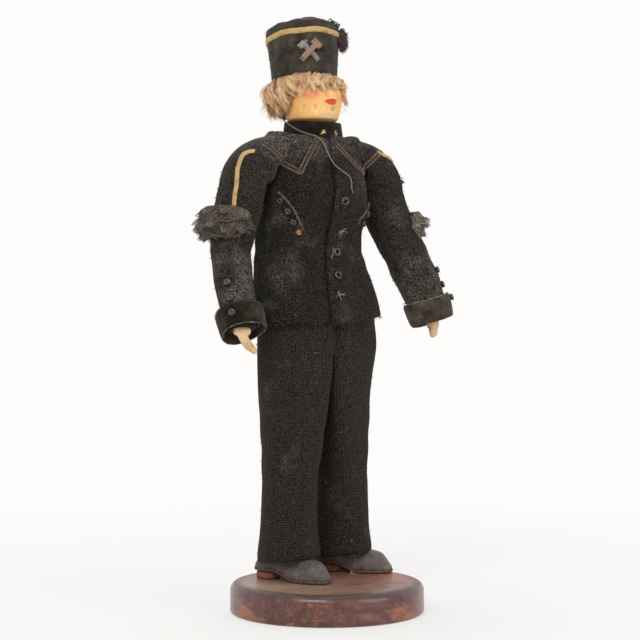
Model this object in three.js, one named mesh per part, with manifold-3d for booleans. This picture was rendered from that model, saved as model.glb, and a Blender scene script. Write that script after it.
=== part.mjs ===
// A dressed papier-mâché miner standing on a turned wooden base.
// Millimetres, +Z up. The origin is the centre of the base's underside and the chest faces -Y,
// so the figure's right hand is on the -X side. Heights of the figure count from the base's top.
import * as THREE from 'three';
import { mergeVertices } from 'three/addons/utils/BufferGeometryUtils.js';
import Module from 'manifold-3d';

const wasm = await Module();
wasm.setup();

// Fits between pieces, and how finely round shapes are cut
const GAP = 0.3;
const GARMENT_SIDES = 20;
const ROUND_SIDES = 12;
const BASE_SIDES = 40;
const SHOE_SIDES = 14;

// Turned base
const BASE_DIAMETER = 80;
const BASE_THICKNESS = 12.5;
const BASE_LIP_RADIUS = 3.2;
const BASE_FOOT_RADIUS = 1.4;

// Where the figure stands on the base, and how its feet are set
const FIGURE_X = 4.4;
const FIGURE_Y = 15;
const STANCE_HALF_SPREAD = 17.5;
const STANCE_TURN = 14;
const RIGHT_FOOT_TURN = 21;
const LEFT_FOOT_TURN = 42;

// Shoes
const FOOT_LENGTH = 36;
const FOOT_WIDTH = 13;
const HEEL_SETBACK = 15;
const HEEL_HEIGHT = 3;
const HEEL_LENGTH = 9.5;
const HEEL_WIDTH = 9.6;
const HEEL_INSET = 0.4;
const ARCH_LEAD = 1;
const BALL_SHARE = 0.62;
const SOLE_EDGE = 0.5;
const SOLE_THICKNESS = 1.3;
const INSTEP_HEIGHT = 11.4;
const TOE_TIP_HEIGHT = 1.7;
const SHOE_SQUARENESS = 2.4;

// Legs and trousers
const LEG_PEG_DIAMETER = 5;
const LEG_PEG_DEPTH = 8;
const LEG_SLACK = 0.6;
const TROUSER_CLOTH = 1.2;
const TROUSER_HEM_HEIGHT = 8.2;
const TROUSER_HEM_WIDTH = 24.6;
const TROUSER_HEM_FLARE = 0.9;
const TROUSER_HEM_BREAK = 9;
const TROUSER_HEM_FRONT_RISE = 3.4;
const KNEE_WIDTH = 21;
const KNEE_HEIGHT = 52;
const CROTCH_HEIGHT = 93;
const TROUSER_TOP_HEIGHT = 109;
const HIP_WIDTH = 53.8;
const HIP_DEPTH = 30;
const HIP_SQUARENESS = 2.3;
const HIP_EASE = 1.35;

// Jacket and the papier-mâché body in it
const JACKET_CLOTH = 1.4;
const TROUSER_TUCK = 3.5;
const JACKET_HEM_HEIGHT = TROUSER_TOP_HEIGHT - TROUSER_TUCK;
const HEM_WIDTH = 57.6;
const HEM_DEPTH = 34.5;
const WAIST_HEIGHT = 138;
const WAIST_WIDTH = 46.5;
const WAIST_DEPTH = 28;
const WAIST_SETBACK = 3.6;
const CHEST_HEIGHT = 160;
const CHEST_WIDTH = 46.5;
const CHEST_DEPTH = 31;
const SHOULDER_SLOPE = 5.5;
const SHOULDER_DEPTH = 25;
const NECK_HEIGHT = 185;
const NECK_OPENING = 22.5;
const NECK_SETBACK = 3;
const JACKET_SQUARENESS = 2.8;
const CLOSURE_NECK_X = 0.6;
const CLOSURE_HEM_X = -4.2;
const CORE_SLACK = 0.8;

// Collar
const COLLAR_HEIGHT = 5.4;
const COLLAR_TOP_DIAMETER = 23.4;
const COLLAR_FOOT_DIAMETER = 25;
const COLLAR_CLOTH = 1.2;

// Braid, beads and buttons on the jacket's front
const BRAID_DIAMETER = 1.2;
const YOKE_NECK_X = 5.5;
const YOKE_TIP_X = 15.5;
const YOKE_TIP_DROP = 17;
const YOKE_ARM_X = 22;
const YOKE_ARM_DROP = 6.5;
const CHEST_BRAID_TOP_X = 21.2;
const CHEST_BRAID_TOP_DROP = 25;
const CHEST_BRAID_LOW_X = 13.8;
const CHEST_BRAID_LOW_DROP = 39;
const BEAD_DIAMETER = 2.5;
const BEAD_RIM = 1.05;
const BEAD_LEAD = 2.8;
const RIGHT_CHEST_BEAD_COUNT = 4;
const LEFT_CHEST_BEAD_COUNT = 3;
const BEAD_SPACING = 4.7;
const BUTTON_DIAMETER = 3.9;
const BUTTON_RIM = 1.3;
const BUTTON_INSET = 4.2;
const BUTTON_DROPS = [28, 49.5, 59.5];

// Arms: each elbow, wrist and fingertip is set out, forward and down from the shoulder.
// The left sleeve is fuller.
const SHOULDER_DROP = 13;
const SHOULDER_HEIGHT = NECK_HEIGHT - SHOULDER_DROP;
const SHOULDER_SETBACK = 3;
const SHOULDER_TOP_RISE = 12.4;
const ARMPIT_RADIUS = 1.6;
const SLEEVE_CLOTH = 1.3;
const UPPER_ARM_WIDTH = 19.6;
const UPPER_ARM_DEPTH = 21.5;
const WRIST_WIDTH = 14.8;
const WRIST_DEPTH = 14.8;
const ELBOW_DROP = 36;
const SLEEVE_LEAD = 6;
const RIGHT_ARM = {
  side: -1,
  elbow: { out: 6, forward: 0.8, width: 16 },
  wrist: { out: 6, forward: 11.5, down: 68.4 },
  tip: { out: 3, forward: 19, down: 78.6 },
};
const LEFT_ARM = {
  side: 1,
  elbow: { out: 8.4, forward: 7.4, width: 18.8 },
  wrist: { out: 15.2, forward: 17.4, down: 63.4 },
  tip: { out: 14, forward: 20, down: 72 },
};
const CUFF_CLOTH = 1.5;
const CUFF_HEIGHT = 10;
const CUFF_FLARE = 0.4;
const CUFF_OVERHANG = 1.6;
const HAND_WIDTH = 7;
const HAND_DEPTH = 5.6;
const FINGER_WIDTH = 3.6;
const THUMB_DIAMETER = 2.8;
const THUMB_LENGTH = 6.2;
const THUMB_ROOT = 4;
const THUMB_SPREAD = 50;
const FUR_DEPTH = 5.6;
const FUR_EDGE = 1;
const FUR_INNER_EDGE = 1.2;
const FUR_HEIGHT = 15;
const FUR_DROP = 24.5;
const STRIPE_WIDTH = 2;
const STRIPE_THICKNESS = 0.6;
const STRIPE_TURN = 37;
const STRIPE_ROOT_INSET = 3.2;
const CUFF_BEAD_TURN = 42;
const CUFF_BEADS = 3;
const CUFF_BEAD_SPACING = 6.7;
const SHOULDER_WIRE_DIAMETER = 2;
const SHOULDER_WIRE_INSERT = 9;

// Head, neck peg and wig
const HEAD_TURN = 13;
const HEAD_WIDTH = 23;
const HEAD_DEPTH = 24;
const JAW_WIDTH = 19;
const JAW_RISE = 1.2;
const BROW_RISE = 13.3;
const HEAD_HEIGHT = 27;
const HEAD_SQUARENESS = 2.15;
const NOSE_LENGTH = 1.9;
const NOSE_RISE = 10.5;
const NOSE_WIDTH = 2.4;
const NECK_DIAMETER = 15;
const NECK_PEG_DIAMETER = 6;
const NECK_SOCKET_FLOOR = 1.2;
const NECK_PEG_RISE = 15;
const WIG_THICKNESS = 7.6;
const WIG_NAPE_RISE = 1.4;
const WIG_RIM_DEPTH = 2.6;
const FRINGE_RISE = 11.8;
const FRINGE_THICKNESS = 2.6;
const HAIRLINE_BACK = 3;

// Hat
const HAT_RISE = 17.6;
const HAT_SETBACK = 4.6;
const HAT_TILT = 5.5;
const HAT_TURN = -35;
const HAT_HEIGHT = 21.8;
const HAT_RIM_DIAMETER = 27.4;
const HAT_TOP_DIAMETER = 31.6;
const HAT_WALL = 1.1;
const HAT_SLACK = 0.4;
const HAT_TOP_THICKNESS = 1.3;
const HAT_TOP_EDGE = 0.8;
const HAT_TOP_CROWN = 2;
const HAT_BAND_WIDTH = 2.2;
const HAT_BAND_THICKNESS = 0.6;
const HAT_BAND_DROP = 4.4;
const BADGE_RISE = 8.6;
const BADGE_LENGTH = 12;
const BADGE_SHAFT = 1.2;
const BADGE_HEAD_LENGTH = 4.6;
const BADGE_HEAD_WIDTH = 2.4;
const BADGE_HEAD_TAPER = 0.4;
const BADGE_THICKNESS = 0.6;
const BADGE_SLANT = 42;
const TUFT_TURN = 72;
const TUFT_WIDTH = 4.4;
const TUFT_HEIGHT = 10.5;
const TUFT_DROP = 6.2;

// Loose thread from the jaw down the jacket's front: points chosen along its lay
const THREAD_DIAMETER = 0.5;
const THREAD_ROUTE = [
  [-12.9, 5.6, 191.6],
  [-12.7, 2.2, 189.6],
  [-12.2, -1.6, 187.6],
  [-11.2, -5.0, 185.9],
  [-9.0, -8.2, 184.6],
  [-6.6, -10.6, 183.4],
  [-4.9, -13.2, 180.6],
  [-4.1, -14.6, 177.4],
  [-3.2, -15.6, 174.4],
  [-1.2, -16.3, 171.4],
  [2.2, -16.8, 169.0],
  [5.2, -16.9, 167.2],
  [6.5, -16.9, 164.9],
  [6.6, -16.9, 162.2],
  [7.4, -16.8, 160.2],
];
const THREAD_STEPS = 30;

// Finishes: colour, roughness, metalness
const finish = (colour, roughness, metalness = 0) => ({ color: colour, roughness, metalness });
const VARNISHED_WOOD = finish(0x5a2c1c, 0.45);
const RAW_WOOD = finish(0xb98a58, 0.8);
const PAPER_PULP = finish(0x9a8a76, 0.95);
const SHOE_PAINT = finish(0x3a3838, 0.6);
const SOLE_BOARD = finish(0x5c4636, 0.85);
const BLACK_WOOL = finish(0x1f1d1b, 0.95);
const BLACK_VELVET = finish(0x171514, 1);
const FUR = finish(0x3a3230, 0.9);
const YELLOW_BRAID = finish(0xd9a63c, 0.75);
const BROWN_BRAID = finish(0x5e3a28, 0.85);
const BLACK_GLASS = finish(0x0d0d0e, 0.15);
const FLESH_PAINT = finish(0xe8bd86, 0.5);
const MOHAIR = finish(0xb98a66, 0.85);
const TIN_FOIL = finish(0x9c9896, 0.35, 0.9);
const COPPER_FOIL = finish(0xa07c6c, 0.4, 0.9);
const STEEL_WIRE = finish(0x8d8f92, 0.4, 1);
const GREY_THREAD = finish(0x5b5148, 0.9);

const radians = THREE.MathUtils.degToRad;
const lerp = THREE.MathUtils.lerp;
const smooth = (t) => THREE.MathUtils.smoothstep(t, 0, 1);
const vec = (x, y, z) => new THREE.Vector3(x, y, z);

const root = new THREE.Group();
const figure = new THREE.Group();
figure.position.set(FIGURE_X, FIGURE_Y, BASE_THICKNESS);
root.add(figure);

function addPiece(parent, name, geometry, look) {
  const mesh = new THREE.Mesh(geometry, new THREE.MeshStandardMaterial(look));
  mesh.name = name;
  parent.add(mesh);
  return mesh;
}

// Geometry from points and triangles, turned inside out if its volume comes out negative
function surface(points, triangles) {
  const geometry = new THREE.BufferGeometry();
  const coordinates = points.flatMap((p) => [p.x, p.y, p.z]);
  geometry.setAttribute('position', new THREE.Float32BufferAttribute(coordinates, 3));
  let volume = 0;
  for (const [a, b, c] of triangles) {
    volume += points[a].dot(points[b].clone().cross(points[c]));
  }
  const outward = volume > 0 ? triangles : triangles.map(([a, b, c]) => [a, c, b]);
  geometry.setIndex(outward.flat());
  geometry.computeVertexNormals();
  return geometry;
}

// Triangles between two rings of equally many points
function bridge(triangles, sides, first, second) {
  for (let s = 0; s < sides; s += 1) {
    const next = (s + 1) % sides;
    triangles.push([first + s, first + next, second + next]);
    triangles.push([first + s, second + next, second + s]);
  }
}

// Solid through a list of rings, closed by a fan at each end
function loft(rings) {
  const sides = rings[0].length;
  const points = rings.flat();
  const triangles = [];
  for (let r = 0; r + 1 < rings.length; r += 1) {
    bridge(triangles, sides, r * sides, (r + 1) * sides);
  }
  for (const [ring, flip] of [[0, true], [rings.length - 1, false]]) {
    const middle = rings[ring].reduce((sum, p) => sum.add(p), vec(0, 0, 0)).divideScalar(sides);
    points.push(middle);
    for (let s = 0; s < sides; s += 1) {
      const a = ring * sides + s;
      const b = ring * sides + ((s + 1) % sides);
      triangles.push(flip ? [points.length - 1, b, a] : [points.length - 1, a, b]);
    }
  }
  return surface(points, triangles);
}

// Open-ended cloth wall between outer rings and inner rings
function clothTube(outer, inner) {
  const loop = [...outer, ...inner.slice().reverse()];
  const sides = outer[0].length;
  const triangles = [];
  for (let r = 0; r < loop.length; r += 1) {
    bridge(triangles, sides, r * sides, ((r + 1) % loop.length) * sides);
  }
  return surface(loop.flat(), triangles);
}

// One point of a rounded-square outline: squareness 2 is an ellipse
function ovalPoint(angle, halfWidth, halfDepth, squareness) {
  const c = Math.cos(angle);
  const s = Math.sin(angle);
  const power = 2 / squareness;
  return [Math.sign(c) * Math.abs(c) ** power * halfWidth, Math.sign(s) * Math.abs(s) ** power * halfDepth];
}

function ovalRing(height, halfWidth, halfDepth, squareness, back = 0, sides = GARMENT_SIDES) {
  return Array.from({ length: sides }, (_, s) => {
    const [x, y] = ovalPoint((s / sides) * 2 * Math.PI, halfWidth, halfDepth, squareness);
    return vec(x, y + back, height);
  });
}

function toSolid(geometry) {
  const bare = geometry.clone();
  for (const name of Object.keys(bare.attributes)) {
    if (name !== 'position') bare.deleteAttribute(name);
  }
  const merged = mergeVertices(bare, 1e-4);
  return new wasm.Manifold(new wasm.Mesh({
    numProp: 3,
    vertProperties: new Float32Array(merged.attributes.position.array),
    triVerts: new Uint32Array(merged.index.array),
  }));
}

function toGeometry(solid) {
  const mesh = solid.getMesh();
  const geometry = new THREE.BufferGeometry();
  geometry.setAttribute('position', new THREE.Float32BufferAttribute(mesh.vertProperties, 3));
  geometry.setIndex(Array.from(mesh.triVerts));
  geometry.computeVertexNormals();
  return geometry;
}

function cut(geometry, ...tools) {
  return toGeometry(tools.reduce((solid, tool) => solid.subtract(toSolid(tool)), toSolid(geometry)));
}

function join(geometry, ...others) {
  return toGeometry(others.reduce((solid, other) => solid.add(toSolid(other)), toSolid(geometry)));
}

function keep(geometry, region) {
  return toGeometry(toSolid(geometry).intersect(toSolid(region)));
}

// Box from its low corner to its high corner
function block(low, high) {
  const size = high.clone().sub(low);
  const middle = low.clone().add(high).multiplyScalar(0.5);
  return new THREE.BoxGeometry(size.x, size.y, size.z).translate(middle.x, middle.y, middle.z);
}

// Round rod between two points
function rod(from, to, radius, sides = ROUND_SIDES) {
  const along = to.clone().sub(from);
  const geometry = new THREE.CylinderGeometry(radius, radius, along.length(), sides);
  const turn = new THREE.Quaternion().setFromUnitVectors(vec(0, 1, 0), along.clone().normalize());
  geometry.applyQuaternion(turn);
  return geometry.translate((from.x + to.x) / 2, (from.y + to.y) / 2, (from.z + to.z) / 2);
}

// Tube of a round section along a smooth curve
function tube(points, radius, sides, steps) {
  const section = new THREE.Shape(Array.from({ length: sides }, (_, s) => {
    const angle = (s / sides) * 2 * Math.PI;
    return new THREE.Vector2(Math.cos(angle) * radius, Math.sin(angle) * radius);
  }));
  const path = new THREE.CatmullRomCurve3(points);
  return new THREE.ExtrudeGeometry(section, { extrudePath: path, steps, bevelEnabled: false });
}

// Small glass ring or bead lying on a surface point, its hole along the surface normal
function beadAt(point, normal, diameter, rim) {
  const ring = new THREE.TorusGeometry((diameter - rim) / 2, rim / 2, 5, 9);
  ring.applyQuaternion(new THREE.Quaternion().setFromUnitVectors(vec(0, 0, 1), normal));
  const seat = point.clone().addScaledVector(normal, rim / 2 + GAP);
  return ring.translate(seat.x, seat.y, seat.z);
}

// Feet: where each leg's axis meets the base, and the way its shoe points
const stance = radians(STANCE_TURN);
const FEET = [
  { name: 'right', side: -1, turn: RIGHT_FOOT_TURN },
  { name: 'left', side: 1, turn: LEFT_FOOT_TURN },
].map((foot) => ({
  ...foot,
  ankle: vec(Math.cos(stance), Math.sin(stance), 0).multiplyScalar(foot.side * STANCE_HALF_SPREAD),
}));
const legPegRadius = LEG_PEG_DIAMETER / 2;

function legPeg(foot, low, high, radius) {
  return rod(vec(foot.ankle.x, foot.ankle.y, low), vec(foot.ankle.x, foot.ankle.y, high), radius);
}

function makeBase() {
  const radius = BASE_DIAMETER / 2;
  const side = new THREE.Path();
  side.moveTo(0, 0);
  side.lineTo(radius - BASE_FOOT_RADIUS, 0);
  side.absarc(radius - BASE_FOOT_RADIUS, BASE_FOOT_RADIUS, BASE_FOOT_RADIUS, -Math.PI / 2, 0);
  side.absarc(radius - BASE_LIP_RADIUS, BASE_THICKNESS - BASE_LIP_RADIUS, BASE_LIP_RADIUS, 0, Math.PI / 2);
  side.lineTo(0, BASE_THICKNESS);
  const disc = new THREE.LatheGeometry(side.getPoints(2), BASE_SIDES).rotateX(Math.PI / 2);
  const holes = FEET.map((foot) => legPeg(foot, -LEG_PEG_DEPTH - GAP, GAP, legPegRadius + GAP));
  holes.forEach((hole) => hole.translate(FIGURE_X, FIGURE_Y, BASE_THICKNESS));
  addPiece(root, 'base_disc', cut(disc, ...holes), VARNISHED_WOOD);
}

// Shoe outline stations from heel to toe: place along the foot, half width and top as shares of the full size
const heelFront = (HEEL_INSET + HEEL_LENGTH + ARCH_LEAD) / FOOT_LENGTH;
const SHOE_STATIONS = [
  [0.0, 0.5, 0.58],
  [0.05, 0.74, 0.66],
  [0.1, 0.8, 0.68],
  [0.17, 0.84, 0.86],
  [heelFront, 0.85, 0.95],
  [0.45, 0.88, 1],
  [0.58, 0.94, 0.9],
  [0.72, 1, 0.84],
  [0.85, 0.9, 0.73],
  [0.95, 0.62, 0.56],
  [1.0, 0.3, 0.3],
];

// Height of the sole's underside above the base: level on the heel, down the arch, flat at the ball
function soleHeight(share) {
  const fall = smooth((share - heelFront) / (BALL_SHARE - heelFront));
  return lerp(HEEL_HEIGHT + GAP, 0, fall) + GAP;
}

// Ring across the shoe: flat below, arched above
function shoeRing(share, halfWidth, floor, top) {
  const y = HEEL_SETBACK - share * FOOT_LENGTH;
  return Array.from({ length: SHOE_SIDES }, (_, s) => {
    const [x, z] = ovalPoint((s / SHOE_SIDES) * 2 * Math.PI, halfWidth, top - floor, SHOE_SQUARENESS);
    return vec(x, y, floor + Math.max(0, z));
  });
}

function soleRing(share, halfWidth, floor) {
  const y = HEEL_SETBACK - share * FOOT_LENGTH;
  const top = floor + SOLE_THICKNESS;
  return [
    vec(-halfWidth, y, floor),
    vec(halfWidth, y, floor),
    vec(halfWidth, y, top),
    vec(-halfWidth, y, top),
  ];
}

function makeShoe(foot) {
  const shoe = new THREE.Group();
  shoe.position.set(foot.ankle.x, foot.ankle.y, 0);
  shoe.rotation.z = radians(foot.turn);
  figure.add(shoe);
  const halfWidth = FOOT_WIDTH / 2;
  const upper = loft(SHOE_STATIONS.map(([share, width, top]) => {
    const floor = soleHeight(share) + SOLE_THICKNESS + GAP;
    const high = Math.max(INSTEP_HEIGHT * top, floor + TOE_TIP_HEIGHT);
    return shoeRing(share, (halfWidth - SOLE_EDGE) * width, floor, high);
  }));
  const sole = loft(SHOE_STATIONS.map(
    ([share, width]) => soleRing(share, halfWidth * width, soleHeight(share)),
  ));
  const hole = rod(vec(0, 0, -1), vec(0, 0, INSTEP_HEIGHT * 2), legPegRadius + GAP);
  addPiece(shoe, `${foot.name}_shoe_upper`, cut(upper, hole), SHOE_PAINT);
  addPiece(shoe, `${foot.name}_shoe_sole`, cut(sole, hole), SOLE_BOARD);
  const heelHalf = HEEL_WIDTH / 2;
  const outline = new THREE.Shape();
  outline.moveTo(-heelHalf, -HEEL_LENGTH);
  outline.lineTo(heelHalf, -HEEL_LENGTH);
  outline.lineTo(heelHalf, -heelHalf);
  outline.absarc(0, -heelHalf, heelHalf, 0, Math.PI);
  outline.closePath();
  const depth = HEEL_HEIGHT - GAP;
  const heel = new THREE.ExtrudeGeometry(outline, { depth, bevelEnabled: false, curveSegments: 10 });
  addPiece(shoe, `${foot.name}_shoe_heel`, heel.translate(0, HEEL_SETBACK - HEEL_INSET, GAP), RAW_WOOD);
}

// Ring of one trouser leg, drawn in by an inset: round at the hem, half of the hip outline at the top
function trouserRing(foot, height, inset) {
  const legLength = CROTCH_HEIGHT - TROUSER_HEM_HEIGHT;
  const rise = THREE.MathUtils.clamp((height - TROUSER_HEM_HEIGHT) / legLength, 0, 1);
  const knee = (KNEE_HEIGHT - TROUSER_HEM_HEIGHT) / legLength;
  const legHalf = lerp(TROUSER_HEM_WIDTH, KNEE_WIDTH, smooth(rise / knee)) / 2;
  const nearHem = 1 - smooth((height - TROUSER_HEM_HEIGHT) / TROUSER_HEM_BREAK);
  const flare = TROUSER_HEM_FLARE * nearHem;
  const forward = vec(Math.sin(radians(foot.turn)), -Math.cos(radians(foot.turn)), 0);
  const hip = smooth(rise) ** HIP_EASE;
  const seam = GAP / 2 + inset;
  return Array.from({ length: GARMENT_SIDES }, (_, s) => {
    const angle = (s / GARMENT_SIDES) * 2 * Math.PI;
    const [legX, legY] = ovalPoint(angle, legHalf + flare - inset, legHalf + flare - inset, 2);
    const [hipX, hipY] = ovalPoint(angle, HIP_WIDTH / 2 - inset, HIP_DEPTH / 2 - inset, HIP_SQUARENESS);
    const x = lerp(foot.ankle.x + legX, foot.side * Math.max(seam, foot.side * hipX), hip);
    const y = lerp(foot.ankle.y + legY, hipY, hip);
    const ahead = Math.max(0, (legX * forward.x + legY * forward.y) / legHalf);
    const rise = TROUSER_HEM_FRONT_RISE * nearHem * ahead;
    return vec(foot.side * Math.max(seam, foot.side * x), y, height + rise);
  });
}

// Hips of the body, drawn in by an inset
function hipBlock(low, high, inset) {
  return loft([low, high].map(
    (height) => ovalRing(height, HIP_WIDTH / 2 - inset, HIP_DEPTH / 2 - inset, HIP_SQUARENESS),
  ));
}

function makeLeg(foot) {
  const heights = [0, 0.05, 0.11, 0.25, 0.4, 0.56, 0.7, 0.82, 0.92, 1].map(
    (share) => lerp(TROUSER_HEM_HEIGHT, CROTCH_HEIGHT, share),
  );
  const trouserHeights = [...heights, TROUSER_TOP_HEIGHT];
  const outer = trouserHeights.map((height) => trouserRing(foot, height, 0));
  const inner = trouserHeights.map((height) => trouserRing(foot, height, TROUSER_CLOTH));
  const seat = hipBlock(CROTCH_HEIGHT, TROUSER_TOP_HEIGHT + GAP, TROUSER_CLOTH + GAP / 2);
  addPiece(figure, `${foot.name}_trouser_leg`, cut(clothTube(outer, inner), seat), BLACK_WOOL);
  const limbFloor = INSTEP_HEIGHT + GAP;
  const limbInset = TROUSER_CLOTH + LEG_SLACK;
  const limbHeights = [limbFloor, ...heights.filter((height) => height > limbFloor + LEG_SLACK)];
  const limb = loft(limbHeights.map((height) => trouserRing(foot, height, limbInset)));
  const peg = legPeg(foot, -LEG_PEG_DEPTH, limbFloor + LEG_PEG_DEPTH, legPegRadius);
  addPiece(figure, `${foot.name}_leg`, join(limb, peg), PAPER_PULP);
}

// Jacket outline by height: half width, half depth and how far back the middle lies
const shoulderEdge = NECK_HEIGHT - SHOULDER_SLOPE;
const JACKET_SECTIONS = [
  { height: JACKET_HEM_HEIGHT, width: HEM_WIDTH, depth: HEM_DEPTH, back: 0 },
  { height: WAIST_HEIGHT, width: WAIST_WIDTH, depth: WAIST_DEPTH, back: WAIST_SETBACK },
  { height: CHEST_HEIGHT, width: CHEST_WIDTH, depth: CHEST_DEPTH, back: 0 },
  { height: shoulderEdge, width: CHEST_WIDTH, depth: SHOULDER_DEPTH, back: SHOULDER_SETBACK },
  { height: NECK_HEIGHT, width: NECK_OPENING, depth: NECK_OPENING, back: NECK_SETBACK },
];

function jacketSection(height) {
  let upper = JACKET_SECTIONS.findIndex((section) => section.height >= height);
  upper = THREE.MathUtils.clamp(upper, 1, JACKET_SECTIONS.length - 1);
  const [a, b] = [JACKET_SECTIONS[upper - 1], JACKET_SECTIONS[upper]];
  const share = THREE.MathUtils.clamp((height - a.height) / (b.height - a.height), 0, 1);
  const overShoulder = upper === JACKET_SECTIONS.length - 1;
  const ease = overShoulder ? 1 - Math.sqrt(1 - share * share) : smooth(share);
  return {
    halfWidth: lerp(a.width, b.width, ease) / 2,
    halfDepth: lerp(a.depth, b.depth, ease) / 2,
    back: lerp(a.back, b.back, ease),
    squareness: overShoulder ? lerp(JACKET_SQUARENESS, 2, ease) : JACKET_SQUARENESS,
  };
}

// Ring of the jacket drawn in by an inset, which on the shoulders also counts downwards
function jacketRing(height, inset) {
  const sink = height > shoulderEdge ? inset : 0;
  const { halfWidth, halfDepth, back, squareness } = jacketSection(height);
  return ovalRing(height - sink, halfWidth - inset, halfDepth - inset, squareness, back);
}

function jacketFrontPoint(x, height) {
  const { halfWidth, halfDepth, back, squareness } = jacketSection(height);
  const across = Math.min(Math.abs(x) / halfWidth, 0.97);
  const share = (1 - across ** squareness) ** (1 / squareness);
  return vec(Math.sign(x) * across * halfWidth, back - share * halfDepth, height);
}

// Point on the jacket's front at a sideways place, and the way the cloth faces there
function jacketFront(x, height) {
  const along = jacketFrontPoint(x + GAP, height).sub(jacketFrontPoint(x - GAP, height));
  const up = jacketFrontPoint(x, height + GAP).sub(jacketFrontPoint(x, height - GAP));
  return { point: jacketFrontPoint(x, height), normal: along.cross(up).normalize() };
}

// The front closes along a slant, from beside the neck to beyond the middle of the hem
function closureX(height) {
  const share = (height - JACKET_HEM_HEIGHT) / (NECK_HEIGHT - JACKET_HEM_HEIGHT);
  return lerp(CLOSURE_HEM_X, CLOSURE_NECK_X, share);
}

function jacketHeights() {
  const shares = [0, 0.33, 0.67];
  const heights = [];
  for (let s = 0; s + 1 < JACKET_SECTIONS.length; s += 1) {
    const [a, b] = [JACKET_SECTIONS[s].height, JACKET_SECTIONS[s + 1].height];
    shares.forEach((share) => heights.push(lerp(a, b, share)));
  }
  return [...heights, lerp(shoulderEdge, NECK_HEIGHT, 0.9), NECK_HEIGHT];
}

const shoulderAxis = vec(0, SHOULDER_SETBACK, SHOULDER_HEIGHT);
const armholeX = CHEST_WIDTH / 2 + GAP;
const wireRadius = SHOULDER_WIRE_DIAMETER / 2;
const wireHalf = armholeX + SHOULDER_WIRE_INSERT;

function shoulderWire(radius, half) {
  return rod(shoulderAxis.clone().setX(-half), shoulderAxis.clone().setX(half), radius, 12);
}

function makeJacket() {
  const heights = jacketHeights();
  const outer = heights.map((height) => jacketRing(height, 0));
  const inner = heights.map((height) => jacketRing(height, JACKET_CLOTH));
  const shell = cut(clothTube(outer, inner), shoulderWire(wireRadius + GAP, wireHalf));
  const reach = HEM_WIDTH;
  const seam = GAP / 2;
  const top = NECK_HEIGHT + GAP;
  const frontHalf = (side) => {
    const edge = new THREE.Shape();
    edge.moveTo(closureX(0) + side * seam, 0);
    edge.lineTo(side * reach, 0);
    edge.lineTo(side * reach, top);
    edge.lineTo(closureX(top) + side * seam, top);
    edge.closePath();
    const slab = new THREE.ExtrudeGeometry(edge, { depth: reach, bevelEnabled: false });
    return slab.rotateX(Math.PI / 2).translate(0, -seam, 0);
  };
  const panels = {
    jacket_back: block(vec(-reach, seam, 0), vec(reach, reach, top)),
    jacket_right_front: frontHalf(-1),
    jacket_left_front: frontHalf(1),
  };
  for (const [name, region] of Object.entries(panels)) {
    addPiece(figure, name, keep(shell, region), BLACK_WOOL);
  }
}

const neckAxis = vec(0, NECK_SETBACK, 0);
const neckSeat = NECK_HEIGHT - JACKET_CLOTH - GAP;
const pegFloor = SHOULDER_HEIGHT + wireRadius + GAP * 2 + NECK_SOCKET_FLOOR;

function neckPeg(low, high, radius) {
  return rod(neckAxis.clone().setZ(low), neckAxis.clone().setZ(high), radius);
}

// Papier-mâché body: hips inside the trousers, chest inside the jacket
function makeBody() {
  const hipInset = TROUSER_CLOTH + GAP * 1.5;
  const chestInset = JACKET_CLOTH + CORE_SLACK;
  const hips = [CROTCH_HEIGHT + GAP, TROUSER_TOP_HEIGHT].map(
    (height) => ovalRing(height, HIP_WIDTH / 2 - hipInset, HIP_DEPTH / 2 - hipInset, HIP_SQUARENESS),
  );
  const chestHeights = jacketHeights().filter((height) => height > TROUSER_TOP_HEIGHT + chestInset);
  const chest = chestHeights.map((height) => jacketRing(height, chestInset));
  const body = loft([...hips, jacketRing(TROUSER_TOP_HEIGHT + GAP, chestInset), ...chest]);
  const socket = neckPeg(pegFloor - GAP, neckSeat + chestInset, NECK_PEG_DIAMETER / 2 + GAP);
  addPiece(figure, 'body_core', cut(body, shoulderWire(wireRadius + GAP, wireHalf), socket), PAPER_PULP);
  addPiece(figure, 'shoulder_wire', shoulderWire(wireRadius, wireHalf), STEEL_WIRE);
}

function makeCollar() {
  const foot = COLLAR_FOOT_DIAMETER / 2;
  const top = COLLAR_TOP_DIAMETER / 2;
  const low = NECK_HEIGHT + GAP;
  const high = low + COLLAR_HEIGHT;
  const round = COLLAR_CLOTH / 3;
  const profile = [
    [foot - COLLAR_CLOTH, low],
    [foot, low],
    [top, high - round],
    [top - round, high],
    [top - COLLAR_CLOTH + round, high],
    [top - COLLAR_CLOTH, high - round],
    [foot - COLLAR_CLOTH, low],
  ].map(([x, y]) => new THREE.Vector2(x, y));
  const band = new THREE.LatheGeometry(profile, GARMENT_SIDES).rotateX(Math.PI / 2);
  addPiece(figure, 'collar', band.translate(0, NECK_SETBACK, 0), BLACK_VELVET);
}

// Braid tube over the jacket's front through places given as sideways distance and drop from the neck
function jacketBraid(places) {
  const points = places.map(([x, drop]) => {
    const { point, normal } = jacketFront(x, NECK_HEIGHT - drop);
    return point.addScaledVector(normal, BRAID_DIAMETER / 2 + GAP);
  });
  return tube(points, BRAID_DIAMETER / 2, 6, points.length * 2);
}

// Places along a straight stretch between two ends, the ends included
function stretch([x0, drop0], [x1, drop1], count) {
  return Array.from({ length: count }, (_, i) => [
    lerp(x0, x1, i / (count - 1)),
    lerp(drop0, drop1, i / (count - 1)),
  ]);
}

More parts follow.
